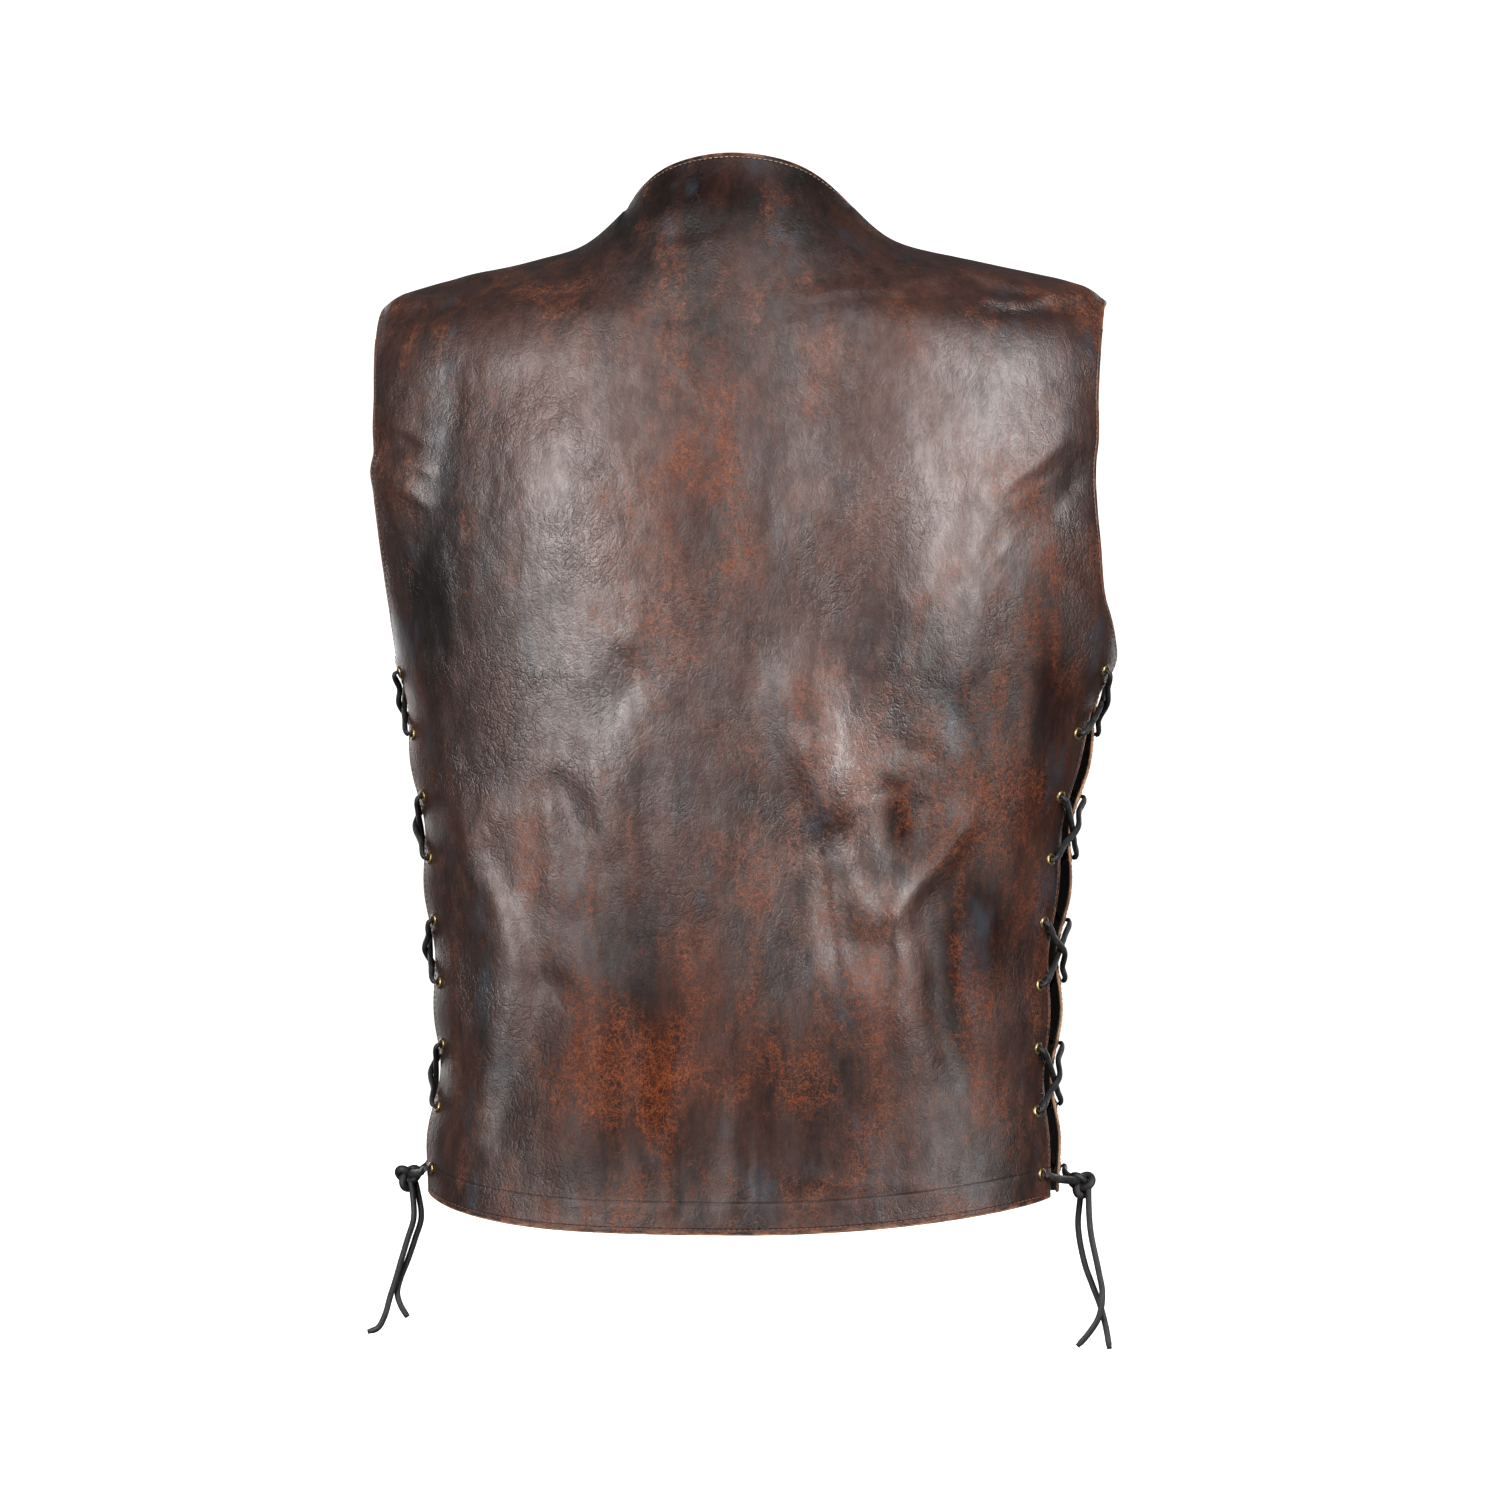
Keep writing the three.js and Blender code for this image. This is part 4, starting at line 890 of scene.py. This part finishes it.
def painted_fields(panel):
    """What the leather's material reads at every point: tone with painted shade and painted highlight, wear,
    polish, and metres from edge and hem.
    """
    x, z = panel.grid[..., 0], panel.grid[..., 2]
    # random tone plus the listed spots, which carry painted shade and painted highlight
    tone_and_shading = noise_field(x, z, 24, 60, 31) * 0.35 + spots([row[:5] for row in BACK_TONES_AND_SHADING], x, z)
    wear = noise_field(x, z, 30, 46, 41) * 0.3 + spots([(*row[:4], row[5]) for row in BACK_TONES_AND_SHADING], x, z)
    polish = noise_field(x, z, 26, 50, 51) * 0.35 + spots(BACK_POLISH, x, z)
    if panel.face == "front":
        tone_and_shading, wear, polish = (field * share for field, share in zip((tone_and_shading, wear, polish), FRONT_SHARES))
    wear = wear + np.clip(panel.relief, -3, 3) * 0.04
    # painted shade: darker in the troughs of folds and creases; painted highlight: lighter on their ridges
    tone_and_shading = tone_and_shading + np.clip(panel.relief, -4, 2) * 0.08
    sewn = (np.abs(panel.across) > NECK["share"]) | (panel.face == "front")
    far = 1000
    edges = [along_border(panel.grid, border) for border in ("start", "end", "bottom")]
    edges.append(along_border(panel.grid, "top") + np.where(sewn, far, 0))
    edge = np.minimum.reduce(edges) * 0.001
    hem = along_border(panel.grid, "bottom") * 0.001
    return {"tone_and_shading": tone_and_shading, "wear": wear, "polish": polish, "edge": edge, "hem": hem}


# ---- sewing ----
STITCH = {"pitch": 3.4, "half": 1.25, "radius": 0.32, "sides": 6}
# Along each stitch: place and share of its radius
STITCH_RINGS = ((-1.0, 0.25), (-0.7, 0.95), (0.7, 0.95), (1.0, 0.25))


def sew(joined, line, normals):
    """Stitches end to end along a line, each half sunk in the leather."""
    run = run_along(line)
    count = int(run[-1] / STITCH["pitch"])
    angles = np.arange(STITCH["sides"]) * 2 * math.pi / STITCH["sides"]
    faces = ring_faces(len(STITCH_RINGS), STITCH["sides"])

    def read(field, where):
        return np.array([np.interp(where, run, field[:, k]) for k in range(3)])

    for s in (np.arange(count) + 0.5) * run[-1] / count:
        centre = read(line, s)
        along = unit(read(line, s + 0.8) - read(line, s - 0.8))
        up = read(normals, s)
        up = unit(up - (up @ along) * along)
        side = np.cross(along, up)
        vertices = [centre + up * (0.08 - 0.3 * abs(t) ** 3) + along * (t * STITCH["half"])
                    + STITCH["radius"] * r * (side * math.cos(a) + up * math.sin(a))
                    for t, r in STITCH_RINGS for a in angles]
        joined.add(vertices, faces)


# ---- small metal pieces ----
# Radius and height above the leather
EYELET_PROFILE = [
    (2.15, -2.6), (2.15, 0.75), (2.4, 1.1), (2.9, 1.25), (3.5, 1.1), (3.95, 0.7), (4.15, 0.25), (4.05, 0.0),
    (2.75, 0.0), (2.75, -2.05), (3.7, -2.05), (3.85, -2.35), (3.3, -2.8), (2.6, -2.85),
]
SNAP_PROFILE = [
    (0.001, 3.0), (2.4, 2.92), (4.4, 2.6), (5.6, 2.1), (6.2, 1.75), (6.5, 1.85), (7.0, 1.8), (7.4, 1.4),
    (7.5, 0.8), (7.2, 0.2), (6.4, 0.0), (0.001, 0.0),
]


def lathe(profile, centre, axis, sides, closed):
    """A profile turned round an axis, which must not point up."""
    u = unit(np.cross(axis, (0, 0, 1)))
    v = np.cross(axis, u)
    angles = np.arange(sides) * 2 * math.pi / sides
    vertices = [centre + axis * h + r * (u * math.cos(t) + v * math.sin(t))
                for r, h in profile for t in angles]
    return vertices, ring_faces(len(profile), sides, closed)


# ---- lacing ----
EYELET_ACROSS = {"back": 0.9265, "front": 0.9325}
OTHER_EDGE = {"back": "front", "front": "back"}


def lacing_spot(edge, side, across, z):
    """Point and normal of the panel on one side of a lacing, at a share of its width and a height."""
    if edge == "back":
        panel, across = PANELS["back_panel"], across * side
    else:
        panel = PANELS["front_panel_left" if side > 0 else "front_panel_right"]
    return panel.spot(np.array(across), np.array(panel.row_at(across, z)))


def eyelet_spot(edge, side, index):
    return lacing_spot(edge, side, EYELET_ACROSS[edge], LACING["top"] - index * LACING["pitch"])


def edge_spot(edge, side, z):
    return lacing_spot(edge, side, 1.0, z)


def knot_centre(side):
    return np.array([side * (float(read_column(TORSO, HALF, KNOT["z"])) + KNOT["stand"]), 0, KNOT["z"]])


def crossing(side, start_edge, index, height):
    """The lace over the gap from one eyelet to the next one of the other edge."""
    end_edge = OTHER_EDGE[start_edge]
    start, start_normal = eyelet_spot(start_edge, side, index)
    end, end_normal = eyelet_spot(end_edge, side, index + 1)

    def level(t):
        return start[2] + (end[2] - start[2]) * t

    first, first_normal = edge_spot(start_edge, side, level(CROSSING["edge_share"]))
    second, second_normal = edge_spot(end_edge, side, level(1 - CROSSING["edge_share"]))
    middle = (edge_spot(start_edge, side, level(0.5))[0] + edge_spot(end_edge, side, level(0.5))[0]) / 2
    middle = middle + np.array([side * height, 0, 0])
    return [start + start_normal * LACE["outside"], first + first_normal * LACE["over_edge"], middle,
            second + second_normal * LACE["over_edge"], end + end_normal * LACE["outside"]]


def strand(side, edge, height):
    """Route of one half of a lace, from its first eyelet down to the knot."""
    points = []
    for i in range(0, LACING["count"] - 1, 2):
        point, normal = eyelet_spot(edge, side, i)
        points.append(point - normal * LACE["inside"])
        points += crossing(side, edge, i, height)
        edge = OTHER_EDGE[edge]
        point, normal = eyelet_spot(edge, side, i + 1)
        points.append(point - normal * LACE["inside"])
    point, normal = eyelet_spot(edge, side, LACING["count"] - 1)
    points += [point - normal * LACE["inside"], point + normal * LACE["outside"]]
    near, near_normal = edge_spot(edge, side, point[2] - 3)
    points.append(near + near_normal * LACE["at_foot"])
    towards = 1 if edge == "back" else -1
    points.append(knot_centre(side) + np.array([-side * 2, 3 * towards, 2]))
    return points



# ================= making =================
add_camera()

leather = leather_material()
flesh = flesh_material()
cut_edge = cut_edge_material()
dark_thread = thread_material("rust_thread", srgb(122, 74, 50), srgb(84, 48, 36))
pale_thread = thread_material("pale_thread", srgb(152, 122, 96), srgb(110, 82, 62))
lace = lace_material()
brass = brass_material()

# Free lace ends
for name, route in LACE_ENDS.items():
    line = smooth_route(route, 1.5)
    narrower_tip = np.where(np.linspace(0, 1, len(line)) > 0.985, 0.82, 1.0)
    vertices, faces = tube(line, LACE["half_width"], LACE["half_height"], (0, 1, 0), narrower_tip)
    piece = mesh_object(f"hanging_lace_{name}", vertices, faces, [lace])
    finish_piece(piece, "lace", f"lace_end_{name}")

# Panels
PANELS = {
    "back_panel": Panel("back_leather", "back", 1, BACK_FOLDS, BACK_CREASES, BACK_SWELLS, False, 3),
    "front_panel_left": Panel("front_leather_left", "front", 1, LEFT_FRONT_FOLDS, FRONT_CREASES,
                              FRONT_SWELLS, True, 11),
    "front_panel_right": Panel("front_leather_right", "front", -1, RIGHT_FRONT_FOLDS, FRONT_CREASES,
                               FRONT_SWELLS, False, 19),
}
for node, panel in PANELS.items():
    piece = panel_mesh(panel, [leather, flesh, cut_edge], painted_fields(panel))
    finish_piece(piece, "leather", node)

# Topstitching
back, left = PANELS["back_panel"], PANELS["front_panel_left"]
dark_seams, pale_seams = Joined(), Joined()
for panel in PANELS.values():
    for border in ("start", "end", "bottom"):
        sew(dark_seams, *panel.inset_line(border, TOPSTITCH, 0.008, 0.992))
neck_share = NECK["share"] / 2
sew(pale_seams, *back.inset_line("top", TOPSTITCH, 0.5 - neck_share, 0.5 + neck_share))
finish_piece(dark_seams.build("edge_stitching", dark_thread), "leather")
finish_piece(pale_seams.build("neck_stitching", pale_thread), "leather")

# Eyelets, laces and knots
for side_name, side in (("left", 1), ("right", -1)):
    for edge in ("back", "front"):
        eyelets = Joined()
        for i in range(LACING["count"]):
            eyelets.add(*lathe(EYELET_PROFILE, *eyelet_spot(edge, side, i), EYELET_SIDES, True))
        nodes = [f"eyelet_{side_name}_{edge}_{i + 1}" for i in range(LACING["count"])]
        finish_piece(eyelets.build(f"eyelets_{side_name}_{edge}", brass), "brass", *nodes)

    # a lace is narrow in the eyelets and wider between them
    holes = np.array([eyelet_spot(edge, side, i)[0] for edge in ("back", "front")
                      for i in range(LACING["count"])])
    laces = Joined()
    for first, height in (("back", CROSSING["over"]), ("front", CROSSING["under"])):
        line = smooth_route(strand(side, first, height), 1.2)
        clear = np.linalg.norm(line[:, None] - holes[None], axis=-1).min(1)
        wider = smooth_step(-8, 9, clear) * LACE["wider_crossing"]
        laces.add(*tube(line, LACE["half_width"], LACE["half_height"], (side, 0, 0.02), wider))
    finish_piece(laces.build(f"side_lace_{side_name}", lace), "lace", f"lace_{side_name}")

    # a trefoil for the knot
    t = np.linspace(0, 2 * math.pi, 121)[:-1]
    loop = np.stack([np.sin(t) + 2 * np.sin(2 * t), -np.sin(3 * t) * 1.1, np.cos(t) - 2 * np.cos(2 * t)], 1)
    loop = np.vstack([loop, loop[:2]]) * KNOT["size"] + knot_centre(side)
    knot = mesh_object(f"tied_knot_{side_name}",
                       *tube(loop, KNOT["half_width"], KNOT["half_height"], (0.2, 1, 0.1)), [lace])
    finish_piece(knot, "lace", f"knot_{side_name}")

# Snaps, on the left front where the solids have them
for i in range(SNAP_COUNT):
    low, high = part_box(f"snap_cap_{i + 1}")
    x, z = (1000 * (low[k] + high[k]) / 2 for k in (0, 2))
    row = left.row_at(SNAP_ACROSS, z)
    across = float(np.interp(x, left.grid[int(round(row)), :, 0], left.across))
    point, normal = left.spot(np.array(across), np.array(row))
    cap = mesh_object(f"snap_{i + 1}", *lathe(SNAP_PROFILE, point, normal, SNAP_SIDES, False), [brass])
    finish_piece(cap, "brass", f"snap_cap_{i + 1}")


# ---- floor, backdrop and light ----
def add_stage():
    """A round pale floor that bends up into a wall, wide enough to stand in from any side."""
    radius, floor_z, bend, top, sides = 4.8, -0.72, 1.0, 4.5, 64
    profile = [(0.01, floor_z)]
    for k in range(13):
        angle = k * math.pi / 24
        profile.append((radius - bend + bend * math.sin(angle), floor_z + bend - bend * math.cos(angle)))
    profile.append((radius, top))
    turns = [2 * math.pi * k / sides for k in range(sides)]
    points = [(reach * math.cos(turn) * 1000, reach * math.sin(turn) * 1000, z * 1000)
              for reach, z in profile for turn in turns]
    floor_cap = tuple(range(sides))
    faces = ring_faces(len(profile), sides)[:-2] + [floor_cap]
    stage = mesh_object("stage", points, faces, [stage_material()])
    stage.visible_diffuse = False
    stage.visible_glossy = False


# Azimuth from the camera's side, elevation, distance, width, height and power
SOFTBOXES = {
    "softbox_left": (-37, 9, 2.2, 0.75, 1.7, 70),
    "softbox_right": (41, 9, 2.2, 0.75, 1.7, 70),
    "softbox_above": (4, 50, 2.3, 1.5, 0.5, 16),
    "softbox_front_left": (150, 6, 2.4, 1.0, 1.5, 16),
    "softbox_front_right": (-150, 6, 2.4, 1.0, 1.5, 16),
}


def add_softbox(name, azimuth, elevation, distance, width, height, power):
    """An area light aimed at the vest."""
    data = bpy.data.lights.new(name, "AREA")
    data.shape = "RECTANGLE"
    data.size, data.size_y = width, height
    data.energy = power
    light = add_object(name, data)
    angle = CAMERA_YAW + math.radians(azimuth)
    level = math.radians(elevation)
    away = Vector((-math.sin(angle) * math.cos(level), math.cos(angle) * math.cos(level), math.sin(level)))
    light.location = Vector((0, 0, CAMERA_HEIGHT)) + away * distance
    light.rotation_euler = (-away).to_track_quat("-Z", "Y").to_euler()


add_stage()
for name, softbox in SOFTBOXES.items():
    add_softbox(name, *softbox)
world = bpy.data.worlds.new("studio")
world.use_nodes = True
background = world.node_tree.nodes["Background"]
background.inputs[0].default_value = (1, 1, 1, 1)
background.inputs[1].default_value = 0.12
bpy.context.scene.world = world
bpy.context.scene.view_settings.view_transform = "Standard"

bpy.context.view_layer.update()
